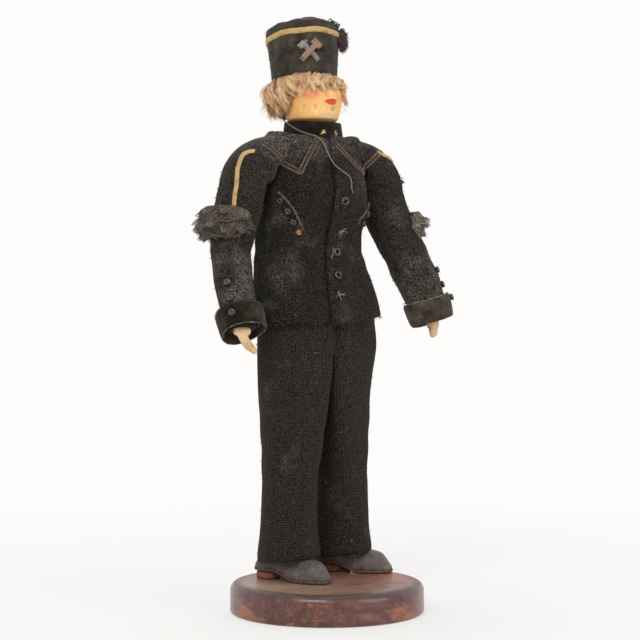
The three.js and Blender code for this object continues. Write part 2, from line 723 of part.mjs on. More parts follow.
function makeFrontTrim() {
  const rows = [
    ['right', -1, RIGHT_CHEST_BEAD_COUNT],
    ['left', 1, LEFT_CHEST_BEAD_COUNT],
  ];
  for (const [name, side, beads] of rows) {
    const neckEnd = [side * YOKE_NECK_X, SHOULDER_SLOPE / 2];
    const tip = [side * YOKE_TIP_X, YOKE_TIP_DROP];
    const armEnd = [side * YOKE_ARM_X, YOKE_ARM_DROP];
    const yoke = [...stretch(neckEnd, tip, 5), ...stretch(tip, armEnd, 5).slice(1)];
    addPiece(figure, `${name}_yoke_braid`, jacketBraid(yoke), BROWN_BRAID);
    const top = [side * CHEST_BRAID_TOP_X, CHEST_BRAID_TOP_DROP];
    const low = [side * CHEST_BRAID_LOW_X, CHEST_BRAID_LOW_DROP];
    addPiece(figure, `${name}_chest_braid`, jacketBraid(stretch(top, low, 5)), BROWN_BRAID);
    const run = Math.hypot(top[0] - low[0], top[1] - low[1]);
    const rowOffset = (BEAD_DIAMETER + BRAID_DIAMETER) / 2 + GAP * 2;
    for (let bead = 0; bead < beads; bead += 1) {
      const share = (BEAD_LEAD + bead * BEAD_SPACING) / run;
      const x = lerp(top[0], low[0], share) + side * rowOffset * ((low[1] - top[1]) / run);
      const drop = lerp(top[1], low[1], share) + rowOffset * (Math.abs(low[0] - top[0]) / run);
      const { point, normal } = jacketFront(x, NECK_HEIGHT - drop);
      const ring = beadAt(point, normal, BEAD_DIAMETER, BEAD_RIM);
      addPiece(figure, `${name}_chest_bead_${bead + 1}`, ring, BLACK_GLASS);
    }
  }
  BUTTON_DROPS.forEach((drop, i) => {
    const height = NECK_HEIGHT - drop;
    const { point, normal } = jacketFront(closureX(height) + BUTTON_INSET, height);
    const ring = beadAt(point, normal, BUTTON_DIAMETER, BUTTON_RIM);
    addPiece(figure, `front_button_${i + 1}`, ring, BLACK_GLASS);
  });
}

// Stations down an arm: a fan round the armpit turns the sleeve from the armhole to hanging,
// then come the elbow and the wrist
function armStations(arm) {
  const armpit = SHOULDER_HEIGHT + SHOULDER_TOP_RISE - UPPER_ARM_WIDTH - ARMPIT_RADIUS * 2;
  const pivot = vec(arm.side * armholeX, SHOULDER_SETBACK, armpit);
  const forward = vec(0, -1, 0);
  const capReach = SHOULDER_HEIGHT + SHOULDER_TOP_RISE - armpit;
  const fan = [0, 18, 36, 54, 72, 90].map((degrees) => {
    const outward = vec(arm.side * Math.sin(radians(degrees)), 0, Math.cos(radians(degrees)));
    const reach = lerp(capReach, UPPER_ARM_WIDTH + ARMPIT_RADIUS, degrees / 90);
    const halfWidth = (reach - ARMPIT_RADIUS) / 2;
    const centre = pivot.clone().addScaledVector(outward, ARMPIT_RADIUS + halfWidth);
    return { centre, outward, forward, halfWidth, halfDepth: UPPER_ARM_DEPTH / 2 };
  });
  const hang = fan[fan.length - 1].centre;
  const shoulder = shoulderAxis.clone().setX(hang.x);
  const place = (spot, down) => shoulder.clone().add(vec(arm.side * spot.out, -spot.forward, -down));
  const elbow = place(arm.elbow, ELBOW_DROP);
  const wrist = place(arm.wrist, arm.wrist.down);
  const lead = hang.clone().setZ(hang.z + SLEEVE_LEAD);
  const path = new THREE.CatmullRomCurve3([lead, hang, elbow, wrist], false, 'centripetal');
  const start = 1 / 3;
  const lower = [0.22, 0.42, 0.6, 0.78, 0.9, 1].map((share) => {
    const t = lerp(start, 1, share);
    const down = path.getTangent(t);
    const outward = vec(arm.side, 0, 0).addScaledVector(down, -down.x * arm.side).normalize();
    const ahead = forward.clone().addScaledVector(down, -down.dot(forward)).normalize();
    const toElbow = smooth(Math.min(1, share / 0.5));
    const toWrist = smooth(Math.max(0, share - 0.5) / 0.5);
    const width = lerp(lerp(UPPER_ARM_WIDTH, arm.elbow.width, toElbow), WRIST_WIDTH, toWrist);
    const depth = lerp(lerp(UPPER_ARM_DEPTH, arm.elbow.width, toElbow), WRIST_DEPTH, toWrist);
    const centre = path.getPoint(t);
    return { centre, outward, forward: ahead, halfWidth: width / 2, halfDepth: depth / 2, down };
  });
  return { stations: [...fan, ...lower], fan, lower, shoulder, wrist, tip: place(arm.tip, arm.tip.down) };
}

// Ring of an arm station, grown by an offset. Angle 0 faces outward, a quarter turn faces forward.
function armRing(station, offset, sides = GARMENT_SIDES) {
  return Array.from({ length: sides }, (_, s) => armPoint(station, (s / sides) * 360, offset));
}

function armPoint(station, degrees, offset) {
  const angle = radians(degrees);
  return station.centre.clone()
    .addScaledVector(station.outward, Math.cos(angle) * (station.halfWidth + offset))
    .addScaledVector(station.forward, Math.sin(angle) * (station.halfDepth + offset));
}

// Station between two others, for pieces that sit part-way down the sleeve
function between(a, b, share) {
  return {
    centre: a.centre.clone().lerp(b.centre, share),
    outward: a.outward.clone().lerp(b.outward, share).normalize(),
    forward: a.forward.clone().lerp(b.forward, share).normalize(),
    halfWidth: lerp(a.halfWidth, b.halfWidth, share),
    halfDepth: lerp(a.halfDepth, b.halfDepth, share),
  };
}

function stationAtHeight(stations, height) {
  const last = stations.length - 1;
  let lowest = stations.findIndex((station) => station.centre.z <= height);
  lowest = lowest < 1 ? last : lowest;
  const [a, b] = [stations[lowest - 1], stations[lowest]];
  return between(a, b, (a.centre.z - height) / (a.centre.z - b.centre.z));
}

function makeArm(name, arm) {
  const { stations, lower, shoulder, wrist, tip } = armStations(arm);
  const outer = stations.map((station) => armRing(station, 0));
  const inner = stations.map((station) => armRing(station, -SLEEVE_CLOTH));
  addPiece(figure, `${name}_sleeve`, clothTube(outer, inner), BLACK_WOOL);

  const coreInset = SLEEVE_CLOTH + GAP;
  const limb = loft(stations.map((station) => armRing(station, -coreInset, ROUND_SIDES)));
  const wireHole = shoulderWire(wireRadius + GAP, wireHalf + GAP);
  addPiece(figure, `${name}_arm`, cut(limb, wireHole), PAPER_PULP);

  const end = lower[lower.length - 1];
  const cuffStation = (rise) => {
    const share = rise / CUFF_HEIGHT;
    return { ...end, centre: end.centre.clone().addScaledVector(end.down, -rise), flare: CUFF_FLARE * share };
  };
  const cuffRises = [-CUFF_OVERHANG, 0, CUFF_HEIGHT / 2, CUFF_HEIGHT];
  const slack = GAP + CUFF_FLARE;
  const cuffOuter = cuffRises.map((rise) => {
    const station = cuffStation(rise);
    return armRing(station, slack + CUFF_CLOTH + station.flare);
  });
  const cuffInner = cuffRises.map((rise) => {
    const station = cuffStation(rise);
    return armRing(station, slack + Math.max(0, station.flare));
  });
  addPiece(figure, `${name}_cuff`, clothTube(cuffOuter, cuffInner), BLACK_VELVET);

  makeHand(name, arm, end, wrist, tip);
  makeFur(name, arm, stations, shoulder);
  makeStripe(name, arm, stations, shoulder);
  for (let bead = 0; bead < CUFF_BEADS; bead += 1) {
    const onCuff = bead === 0;
    const station = cuffStation(CUFF_HEIGHT / 2 + bead * CUFF_BEAD_SPACING);
    const onSleeve = { ...stationAtHeight(stations, station.centre.z), offset: 0 };
    const seat = onCuff ? { ...station, offset: slack + CUFF_CLOTH + station.flare } : onSleeve;
    const point = armPoint(seat, CUFF_BEAD_TURN, seat.offset);
    const normal = point.clone().sub(seat.centre).normalize();
    const ring = beadAt(point, normal, BEAD_DIAMETER, BEAD_RIM);
    addPiece(figure, `${name}_cuff_bead_${bead + 1}`, ring, BLACK_GLASS);
  }
}

// Mitten hand outline from wrist to fingertip: place along the hand, then width and depth, all as shares
const HAND_STATIONS = [
  [0, 0.72, 0.9],
  [0.25, 0.8, 1],
  [0.5, 1, 0.94],
  [0.72, 0.78, 0.8],
  [0.92, 0.56, 0.7],
  [1, 0.3, 0.4],
];

// Mitten hand with a thumb, butted on the arm inside the cuff
function makeHand(name, arm, end, wrist, tip) {
  const start = wrist.clone().addScaledVector(end.down, GAP);
  const reach = tip.clone().sub(start);
  const aim = reach.clone().normalize();
  const outward = end.outward.clone().addScaledVector(aim, -end.outward.dot(aim)).normalize();
  const forward = aim.clone().cross(outward);
  const hand = HAND_STATIONS.map(([share, width, depth]) => {
    const taper = Math.max(0, share - 0.5) * 2;
    const atWrist = share === 0;
    return armRing({
      centre: start.clone().addScaledVector(reach, share),
      outward: atWrist ? end.outward : outward,
      forward: atWrist ? end.down.clone().cross(end.outward) : forward,
      halfWidth: (HAND_WIDTH * width) / 2,
      halfDepth: (lerp(HAND_DEPTH, FINGER_WIDTH, taper) * depth) / 2,
    }, 0, ROUND_SIDES);
  });
  const root = start.clone().addScaledVector(aim, THUMB_ROOT);
  const spread = radians(THUMB_SPREAD);
  const ahead = vec(0, -1, 0).addScaledVector(aim, aim.y).normalize();
  const thumbAim = aim.clone().multiplyScalar(Math.cos(spread)).addScaledVector(ahead, Math.sin(spread));
  const thumbTip = root.clone().addScaledVector(thumbAim, THUMB_LENGTH);
  const thumb = rod(root, thumbTip, THUMB_DIAMETER / 2, 8);
  const ball = new THREE.SphereGeometry(THUMB_DIAMETER / 2, 8, 5);
  ball.translate(thumbTip.x, thumbTip.y, thumbTip.z);
  addPiece(figure, `${name}_hand`, join(loft(hand), thumb, ball), FLESH_PAINT);
}

// Fur roll on the outer half of the sleeve
function makeFur(name, arm, stations, shoulder) {
  const middle = shoulder.z - FUR_DROP;
  const rises = [-0.5, -0.25, 0, 0.25, 0.5];
  const seatAt = (rise) => stationAtHeight(stations, middle - rise * FUR_HEIGHT);
  const seats = rises.map((rise) => ({ rise, station: seatAt(rise) }));
  const inner = seats.map(({ station }) => armRing(station, GAP));
  const outer = seats.map(({ rise, station }) => {
    const bulge = (FUR_DEPTH - FUR_EDGE) * Math.cos(rise * Math.PI);
    return armRing(station, GAP + FUR_EDGE + bulge);
  });
  const reach = UPPER_ARM_WIDTH + FUR_DEPTH + ELBOW_DROP;
  const inside = shoulder.x + arm.side * FUR_INNER_EDGE;
  const outside = shoulder.x + arm.side * reach;
  const low = vec(Math.min(inside, outside), -reach, 0);
  const high = vec(Math.max(inside, outside), reach, NECK_HEIGHT);
  addPiece(figure, `${name}_fur_roll`, keep(clothTube(outer, inner), block(low, high)), FUR);
}

// Yellow ribbon over the shoulder and down the sleeve to the fur
function makeStripe(name, arm, stations, shoulder) {
  const lowest = shoulder.z - FUR_DROP + FUR_HEIGHT / 2 + GAP;
  const above = stations.filter((station) => station.centre.z > lowest);
  const ribs = [...above, stationAtHeight(stations, lowest)];
  const outer = ribs.map((station) => armRing(station, GAP + STRIPE_THICKNESS));
  const inner = ribs.map((station) => armRing(station, GAP));
  const half = STRIPE_WIDTH / 2;
  const slab = block(vec(0, -half, lowest), vec(UPPER_ARM_WIDTH * 2, half, NECK_HEIGHT + UPPER_ARM_WIDTH));
  const heading = arm.side > 0 ? -STRIPE_TURN : 180 + STRIPE_TURN;
  slab.rotateZ(radians(heading)).translate(shoulder.x - arm.side * STRIPE_ROOT_INSET, shoulder.y, 0);
  addPiece(figure, `${name}_shoulder_stripe`, keep(clothTube(outer, inner), slab), YELLOW_BRAID);
}

// Head outline by rise above the collar: width, depth and how far back the middle lies.
// From the hat's rim up it fills the hat.
const jawHeight = NECK_HEIGHT + GAP + COLLAR_HEIGHT + GAP;
const hatSeat = HAT_RIM_DIAMETER - (HAT_WALL + HAT_SLACK) * 2;
const HEAD_STATIONS = [
  [0, JAW_WIDTH, JAW_WIDTH, 0],
  [JAW_RISE, lerp(JAW_WIDTH, HEAD_WIDTH, 0.62), lerp(JAW_WIDTH, HEAD_DEPTH, 0.66), 0],
  [BROW_RISE * 0.36, lerp(JAW_WIDTH, HEAD_WIDTH, 0.9), lerp(JAW_WIDTH, HEAD_DEPTH, 0.92), 0],
  [BROW_RISE * 0.6, HEAD_WIDTH, HEAD_DEPTH, 0],
  [BROW_RISE, HEAD_WIDTH, HEAD_DEPTH, 0],
  [HAT_RISE, hatSeat, hatSeat, HAT_SETBACK],
  [lerp(HAT_RISE, HEAD_HEIGHT, 0.55), hatSeat * 0.8, hatSeat * 0.8, HAT_SETBACK],
  [HEAD_HEIGHT, hatSeat * 0.42, hatSeat * 0.42, HAT_SETBACK],
];

// Ring round the head, each point moved out by what grow gives for its facing: 1 is the face, -1 the back
function headRing([rise, width, depth, back], grow) {
  const ring = ovalRing(jawHeight + rise, width / 2, depth / 2, HEAD_SQUARENESS, back);
  const noseShare = Math.exp(-(((rise - NOSE_RISE) / NOSE_WIDTH) ** 2));
  for (const point of ring) {
    const away = vec(point.x, point.y - back, 0).normalize();
    const nearFront = away.y < 0 ? Math.exp(-((point.x / NOSE_WIDTH) ** 2) * 1.6) : 0;
    point.addScaledVector(away, grow(-away.y));
    point.y -= NOSE_LENGTH * noseShare * nearFront;
  }
  return ring;
}

function headStation(rise) {
  const upper = HEAD_STATIONS.findIndex((station) => station[0] > rise);
  const [a, b] = [HEAD_STATIONS[upper - 1], HEAD_STATIONS[upper]];
  const share = (rise - a[0]) / (b[0] - a[0]);
  return a.map((value, i) => lerp(value, b[i], share));
}

// Stations with extra ones at the nose, so that it has rings to stand on
function headStations() {
  const nose = [-0.8, 0, 0.8].map((share) => headStation(NOSE_RISE + share * NOSE_WIDTH));
  return [...HEAD_STATIONS, ...nose].sort((a, b) => a[0] - b[0]);
}

const headTurn = new THREE.Matrix4().makeRotationZ(radians(HEAD_TURN)).setPosition(0, NECK_SETBACK, 0);

function hatMatrix() {
  const spot = vec(0, HAT_SETBACK, jawHeight + HAT_RISE);
  const tilt = new THREE.Quaternion().setFromAxisAngle(vec(1, 0, 0), radians(-HAT_TILT));
  const turn = new THREE.Quaternion().setFromAxisAngle(vec(0, 0, 1), radians(HAT_TURN));
  const onHead = new THREE.Matrix4().compose(spot, tilt.multiply(turn), vec(1, 1, 1));
  return headTurn.clone().multiply(onHead);
}

function makeHead() {
  const neck = ovalRing(neckSeat + GAP, NECK_DIAMETER / 2, NECK_DIAMETER / 2, 2);
  const throat = ovalRing(jawHeight, NECK_DIAMETER / 2, NECK_DIAMETER / 2, 2);
  const skull = loft([neck, throat, ...headStations().map((station) => headRing(station, () => 0))]);
  skull.applyMatrix4(headTurn);
  const pegTop = jawHeight + NECK_PEG_RISE;
  const hole = neckPeg(neckSeat - GAP, pegTop + GAP, NECK_PEG_DIAMETER / 2 + GAP);
  addPiece(figure, 'head', cut(skull, hole), FLESH_PAINT);
  addPiece(figure, 'neck_peg', neckPeg(pegFloor, pegTop, NECK_PEG_DIAMETER / 2), RAW_WOOD);

  const hairStations = headStations().filter(([rise]) => rise > WIG_NAPE_RISE && rise < HEAD_HEIGHT);
  const hairRings = [headStation(WIG_NAPE_RISE), ...hairStations].map((station) => {
    const atRim = smooth((station[0] - BROW_RISE) / (HAT_RISE - BROW_RISE));
    const depth = (facing) => lerp(WIG_THICKNESS, FRINGE_THICKNESS, smooth(facing + 0.5));
    return headRing(station, (facing) => lerp(depth(facing), WIG_RIM_DEPTH, atRim));
  });
  const scalpRings = headStations().map((station) => headRing(station, () => GAP));
  const reach = HEAD_WIDTH * 2;
  const fringe = vec(reach, HAIRLINE_BACK, jawHeight + FRINGE_RISE);
  const face = block(vec(-reach, -reach, 0), fringe).applyMatrix4(headTurn);
  const underHat = block(vec(-reach, -reach, -GAP), vec(reach, reach, reach)).applyMatrix4(hatMatrix());
  const hair = loft(hairRings).applyMatrix4(headTurn);
  const scalp = loft(scalpRings).applyMatrix4(headTurn);
  addPiece(figure, 'wig', cut(hair, scalp, face, underHat), MOHAIR);
}

// Profile on the hat's flaring side: radius at a rise above the rim
const hatRadius = (rise) => lerp(HAT_RIM_DIAMETER, HAT_TOP_DIAMETER, rise / HAT_HEIGHT) / 2;

// Band round the hat between two rises, standing off its side
function hatRing(low, high, offset, thickness) {
  const profile = [
    [hatRadius(low) + offset, low],
    [hatRadius(low) + offset + thickness, low],
    [hatRadius(high) + offset + thickness, high],
    [hatRadius(high) + offset, high],
    [hatRadius(low) + offset, low],
  ].map(([x, y]) => new THREE.Vector2(x, y));
  return new THREE.LatheGeometry(profile, GARMENT_SIDES).rotateX(Math.PI / 2);
}

// One foil hammer, standing up the hat's front before it is slanted
function badgeHammer(slant, layer) {
  const outline = new THREE.Shape();
  const shaft = BADGE_SHAFT / 2;
  const neckY = BADGE_LENGTH / 2 - BADGE_HEAD_WIDTH;
  const headX = BADGE_HEAD_LENGTH / 2;
  outline.moveTo(-shaft, -BADGE_LENGTH / 2);
  outline.lineTo(shaft, -BADGE_LENGTH / 2);
  outline.lineTo(shaft, neckY);
  outline.lineTo(headX, neckY + BADGE_HEAD_TAPER);
  outline.lineTo(headX, BADGE_LENGTH / 2);
  outline.lineTo(-headX, BADGE_LENGTH / 2);
  outline.lineTo(-headX, neckY);
  outline.lineTo(-shaft, neckY);
  outline.closePath();
  const foil = new THREE.ExtrudeGeometry(outline, { depth: BADGE_THICKNESS, bevelEnabled: false });
  const flare = Math.atan2(hatRadius(HAT_HEIGHT) - hatRadius(0), HAT_HEIGHT);
  const standOff = GAP + layer * (BADGE_THICKNESS + GAP);
  foil.rotateZ(radians(slant)).translate(0, 0, standOff).rotateX(Math.PI / 2 + flare);
  return foil.translate(0, -hatRadius(BADGE_RISE), BADGE_RISE);
}

function makeHat() {
  const hat = new THREE.Group();
  hat.applyMatrix4(hatMatrix());
  figure.add(hat);
  addPiece(hat, 'hat_crown', hatRing(0, HAT_HEIGHT, -HAT_WALL, HAT_WALL), BLACK_VELVET);
  const lid = HAT_HEIGHT + GAP;
  const lidRadius = HAT_TOP_DIAMETER / 2;
  const top = new THREE.Path();
  top.moveTo(0, lid);
  top.lineTo(lidRadius, lid);
  top.lineTo(lidRadius, lid + HAT_TOP_EDGE);
  const peak = lid + HAT_TOP_THICKNESS + HAT_TOP_CROWN;
  top.quadraticCurveTo(lidRadius * 0.8, peak, 0, peak);
  const topPiece = new THREE.LatheGeometry(top.getPoints(6), GARMENT_SIDES).rotateX(Math.PI / 2);
  addPiece(hat, 'hat_top', topPiece, BLACK_VELVET);
  const bandHigh = HAT_HEIGHT - HAT_BAND_DROP + HAT_BAND_WIDTH;
  const bandLow = bandHigh - HAT_BAND_WIDTH;
  const band = hatRing(bandLow, bandHigh, GAP, HAT_BAND_THICKNESS);
  addPiece(hat, 'hat_band', band, YELLOW_BRAID);
  addPiece(hat, 'badge_hammer', badgeHammer(BADGE_SLANT, 0), TIN_FOIL);
  addPiece(hat, 'badge_mallet', badgeHammer(-BADGE_SLANT, 1), COPPER_FOIL);
  const tuft = new THREE.SphereGeometry(TUFT_WIDTH / 2, 12, 8).rotateX(Math.PI / 2);
  tuft.scale(1, 1, TUFT_HEIGHT / TUFT_WIDTH);
  const tuftRadius = hatRadius(bandLow) + GAP * 2 + HAT_BAND_THICKNESS + TUFT_WIDTH / 2;
  const heading = radians(TUFT_TURN - 90);
  tuft.translate(tuftRadius * Math.cos(heading), tuftRadius * Math.sin(heading), HAT_HEIGHT - TUFT_DROP);
  addPiece(hat, 'hat_tuft', tuft, FUR);
}

function makeThread() {
  const points = THREAD_ROUTE.map(([x, y, z]) => vec(x, y, z));
  addPiece(figure, 'loose_thread', tube(points, THREAD_DIAMETER / 2, 8, THREAD_STEPS), GREY_THREAD);
}

makeBase();
for (const foot of FEET) {
  makeShoe(foot);
  makeLeg(foot);
}
makeBody();
makeJacket();
makeCollar();
makeFrontTrim();
makeArm('right', RIGHT_ARM);
makeArm('left', LEFT_ARM);
makeHead();
makeHat();
makeThread();

export default root;
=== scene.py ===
"""A dressed papier-mache miner on a turned wooden base: its cloth, hair, paint and small trim.

Metres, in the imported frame: the origin is the centre of the base's underside, +Z is up and the chest
faces -Y. Places on the figure are written in millimetres from where it stands on the base.
"""

import math
import random

import bmesh
import bpy
from mathutils import Matrix, Vector, noise
from mathutils.bvhtree import BVHTree


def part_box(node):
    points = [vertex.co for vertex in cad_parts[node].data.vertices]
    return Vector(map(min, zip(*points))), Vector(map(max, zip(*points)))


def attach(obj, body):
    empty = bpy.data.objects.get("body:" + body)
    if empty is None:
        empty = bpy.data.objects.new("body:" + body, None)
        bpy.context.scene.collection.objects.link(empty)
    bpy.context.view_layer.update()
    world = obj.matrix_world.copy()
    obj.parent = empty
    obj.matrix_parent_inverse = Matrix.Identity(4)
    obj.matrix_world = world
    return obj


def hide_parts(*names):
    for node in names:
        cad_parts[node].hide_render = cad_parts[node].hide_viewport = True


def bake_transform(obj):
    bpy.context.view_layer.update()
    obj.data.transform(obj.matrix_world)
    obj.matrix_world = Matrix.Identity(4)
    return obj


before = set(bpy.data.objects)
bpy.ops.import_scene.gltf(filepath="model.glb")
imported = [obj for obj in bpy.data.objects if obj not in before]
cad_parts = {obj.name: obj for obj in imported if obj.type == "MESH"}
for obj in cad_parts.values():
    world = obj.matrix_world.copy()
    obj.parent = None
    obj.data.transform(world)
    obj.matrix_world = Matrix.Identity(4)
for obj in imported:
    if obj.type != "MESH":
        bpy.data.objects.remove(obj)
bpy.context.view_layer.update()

MM = 0.001
TURN = 2 * math.pi
UP = Vector((0, 0, 1))
FORWARD = Vector((0, -1, 0))
ASIDE = Vector((1, 0, 0))

# Corners closer than this become one, and how far outside the cloth a ray starts
WELD = 1e-6
PROBE = 0.05

# Bodies of the frame
STANDING = "standing_figure"
HEAD_BODY = "head_and_hat"

# Where the figure stands on the base, and its main heights above the base's top
FIGURE = Vector((4.4, 15.0, 12.5))
BASE_TOP = 0.0125
TROUSER_HEM = 8.2
TROUSER_TOP = 109.0
JACKET_HEM = 105.5
SHOULDER_EDGE = 179.5
NECK_HEIGHT = 185.0
JAW_HEIGHT = 191.0
NECK_BACK = 3.0

# Cloth
WOOL_WALL = 1.2
THREAD_PITCH = 0.00085
FUZZ = 0.00011
CLOSURE_NECK_X = 0.6
CLOSURE_HEM_X = -4.2

# Arms, in millimetres from where the figure stands
ARMHOLE_X = 23.55
ARMPIT_HEIGHT = 161.6
ARMPIT_RADIUS = 1.6
SHOULDER_BACK = 3.0
CAP_REACH = 22.8
ARM_REACH = 21.2
ARMS = {
    "right": {"side": -1, "elbow": (-40.95, 2.2, 136.0), "wrist": (-40.95, -8.5, 103.6),
              "tip": (-37.95, -16.0, 93.4)},
    "left": {"side": 1, "elbow": (43.35, -4.4, 136.0), "wrist": (50.15, -14.4, 108.6),
             "tip": (48.95, -17.0, 100.0)},
}
FUR_HEIGHT = 147.5
STRIPE_WIDTH = 2.0

# Head and hat: how they are turned and set on the neck
HEAD_TURN = 13.0
FACE_TURN = -6.0
HEAD_RADIUS = 12.0
HAT_BACK = 4.6
HAT_RISE = 17.6
HAT_TILT = -7.5
HAT_LEAN = 4.3
SOLID_TILT = -5.5
HAT_TURN = -35.0
HAT_HEIGHT = 21.8
HAT_RIM_RADIUS = 13.7
HAT_TOP_RADIUS = 15.8


def lerp(a, b, share):
    return a + (b - a) * share


def smooth(share):
    share = min(1.0, max(0.0, share))
    return share * share * (3 - 2 * share)


def hump(value, middle, width):
    return math.exp(-(((value - middle) / width) ** 2))


def spot(x, y, z):
    """A place on the figure, from millimetres to the frame."""
    return (FIGURE + Vector((x, y, z))) * MM


def turned(degrees, axis):
    return Matrix.Rotation(math.radians(degrees), 4, axis)


def level(way):
    """A direction without its rise."""
    return Vector((way.x, way.y, 0)).normalized()


def circle(angle, size=1.0, z=0.0):
    return Vector((math.cos(angle) * size, math.sin(angle) * size, z))


def swung(first, second, angle):
    """The first direction, swung towards the second."""
    return first * math.cos(angle) + second * math.sin(angle)


def beside(matrix, angle, radius, rise, back=0.0):
    """A place round the head or the hat: degrees from straight ahead, and millimetres out and up."""
    turn = math.radians(angle)
    return matrix @ Vector((radius * math.sin(turn), back - radius * math.cos(turn), rise))


def row_of(rows, along):
    """The row for a corner of a grid, with along from 0 to 1."""
    return rows[round(along * (len(rows) - 1))]


def length_of(path):
    return sum((b - a).length for a, b in zip(path, path[1:]))


HEAD = Matrix.Translation(spot(0, NECK_BACK, 0)) @ turned(HEAD_TURN, "Z") @ Matrix.Scale(MM, 4)
HAT_SEAT = HEAD @ Matrix.Translation((0, HAT_BACK, JAW_HEIGHT + HAT_RISE))
HAT = HAT_SEAT @ turned(HAT_TILT, "X") @ turned(HAT_LEAN, "Y") @ turned(HAT_TURN, "Z")
HAT_SOLID = HAT_SEAT @ turned(SOLID_TILT, "X") @ turned(HAT_TURN, "Z")
HEAD_WAY = HEAD.to_3x3() * (1 / MM)
HAT_WAY = HAT.to_3x3() * (1 / MM)


def coat(data, finish):
    data.materials.clear()
    data.materials.append(finish.material)


def put(name, data, finish=None):
    """A new object in the scene, with its finish."""
    if finish:
        coat(data, finish)
    obj = bpy.data.objects.new(name, data)
    bpy.context.collection.objects.link(obj)
    return obj


def mesh_from(name, bm):
    mesh = bpy.data.meshes.new(name)
    bm.to_mesh(mesh)
    bm.free()
    return mesh


# Shader nodes


def colour(red, green, blue):
    """A display colour from 0 to 255 as the shader's linear colour."""
    shares = [value / 255 for value in (red, green, blue)]
    return tuple(s / 12.92 if s <= 0.04045 else ((s + 0.055) / 1.055) ** 2.4 for s in shares) + (1.0,)


class Nodes:
    """A tree of shader nodes."""

    def __init__(self, tree):
        self.tree = tree

    def add(self, kind, feeds=(), **settings):
        node = self.tree.nodes.new(kind)
        for name, value in settings.items():
            setattr(node, name, value)
        for socket, value in feeds:
            self.feed(node.inputs[socket], value)
        return node

    def feed(self, socket, value):
        if isinstance(value, bpy.types.NodeSocket):
            self.tree.links.new(value, socket)
        else:
            socket.default_value = value

    def math(self, operation, *values):
        return self.add("ShaderNodeMath", enumerate(values), operation=operation).outputs[0]

    def times(self, first, second):
        return self.math("MULTIPLY", first, second)

    def plus(self, first, second):
        return self.math("ADD", first, second)

    def spread(self, value, low, high, to_low=0.0, to_high=1.0):
        """A value between low and high, laid out on another range."""
        sockets = ("Value", "From Min", "From Max", "To Min", "To Max")
        feeds = zip(sockets, (value, low, high, to_low, to_high))
        return self.add("ShaderNodeMapRange", feeds, clamp=True).outputs[0]

    def seen(self):
        """1 for what the camera sees straight on, in a mirror or through glass."""
        path = self.add("ShaderNodeLightPath").outputs
        direct = self.math("MAXIMUM", path["Is Camera Ray"], path["Is Glossy Ray"])
        return self.math("MAXIMUM", direct, path["Is Transmission Ray"])

    def show(self, output, share, first, second):
        """The output gets the first shader, or the second where the share is 1."""
        mix = self.add("ShaderNodeMixShader", [(0, share), (1, first.outputs[0]), (2, second.outputs[0])])
        self.feed(self.tree.nodes[output].inputs["Surface"], mix.outputs[0])


class Finish(Nodes):
    """One procedural material: a Principled shader and the nodes that feed it."""

    def __init__(self, name, **fixed):
        self.material = bpy.data.materials.new(name)
        self.material.use_nodes = True
        super().__init__(self.material.node_tree)
        self.shader = self.tree.nodes["Principled BSDF"]
        self.paint(**fixed)

    def paint(self, **feeds):
        for socket, value in feeds.items():
            self.feed(self.shader.inputs[socket.replace("_", " ")], value)

    def own(self, kind="Object"):
        """The piece's own coordinates."""
        return self.add("ShaderNodeTexCoord").outputs[kind]

    def body(self, stretch=(1, 1, 1)):
        """Object coordinates, stretched."""
        return self.add("ShaderNodeMapping", [("Vector", self.own()), ("Scale", stretch)]).outputs[0]

    def height(self):
        return self.add("ShaderNodeSeparateXYZ", [(0, self.own())]).outputs["Z"]

    def cloth(self):
        """The piece's own weave coordinates, in metres across and along."""
        split = self.add("ShaderNodeSeparateXYZ", [(0, self.own("UV"))])
        return split.outputs["X"], split.outputs["Y"]

    def noise(self, vector, size, detail=3.0, roughness=0.55):
        feeds = [("Vector", vector), ("Scale", 1 / size), ("Detail", detail), ("Roughness", roughness)]
        return self.add("ShaderNodeTexNoise", feeds).outputs[0]

    def cells(self, vector, size, feature="F1"):
        feeds = [("Vector", vector), ("Scale", 1 / size)]
        return self.add("ShaderNodeTexVoronoi", feeds, feature=feature).outputs["Distance"]

    def waves(self, value, period):
        """0 to 1 and back once in each period."""
        return self.math("MULTIPLY_ADD", self.math("SINE", self.times(value, TURN / period)), 0.5, 0.5)

    def mix(self, share, first, second):
        """Two colours mixed, each from a node or a display colour."""
        tints = [colour(*tint) if isinstance(tint, tuple) else tint for tint in (first, second)]
        feeds = [(0, share), (6, tints[0]), (7, tints[1])]
        return self.add("ShaderNodeMix", feeds, data_type="RGBA").outputs[2]

    def ramp(self, value, *stops):
        node = self.add("ShaderNodeValToRGB", [("Fac", value)])
        elements = node.color_ramp.elements
        while len(elements) < len(stops):
            elements.new(1.0)
        for element, (place, tint) in zip(elements, stops):
            element.position = place
            element.color = colour(*tint)
        return node.outputs["Color"]

    def bump(self, height, depth, strength):
        feeds = [("Height", height), ("Distance", depth), ("Strength", strength)]
        return self.add("ShaderNodeBump", feeds).outputs[0]

    def patch(self, centre, turn, size):
        """1 in the middle of an egg-shaped spot and 0 at its rim: its centre, turn and half sizes."""
        feeds = [("Vector", self.own()), ("Location", centre), ("Rotation", (0, 0, math.radians(turn))),
                 ("Scale", size)]
        local = self.add("ShaderNodeMapping", feeds, vector_type="TEXTURE").outputs[0]
        return self.add("ShaderNodeTexGradient", [(0, local)], gradient_type="SPHERICAL").outputs["Fac"]


# Camera, light and floor

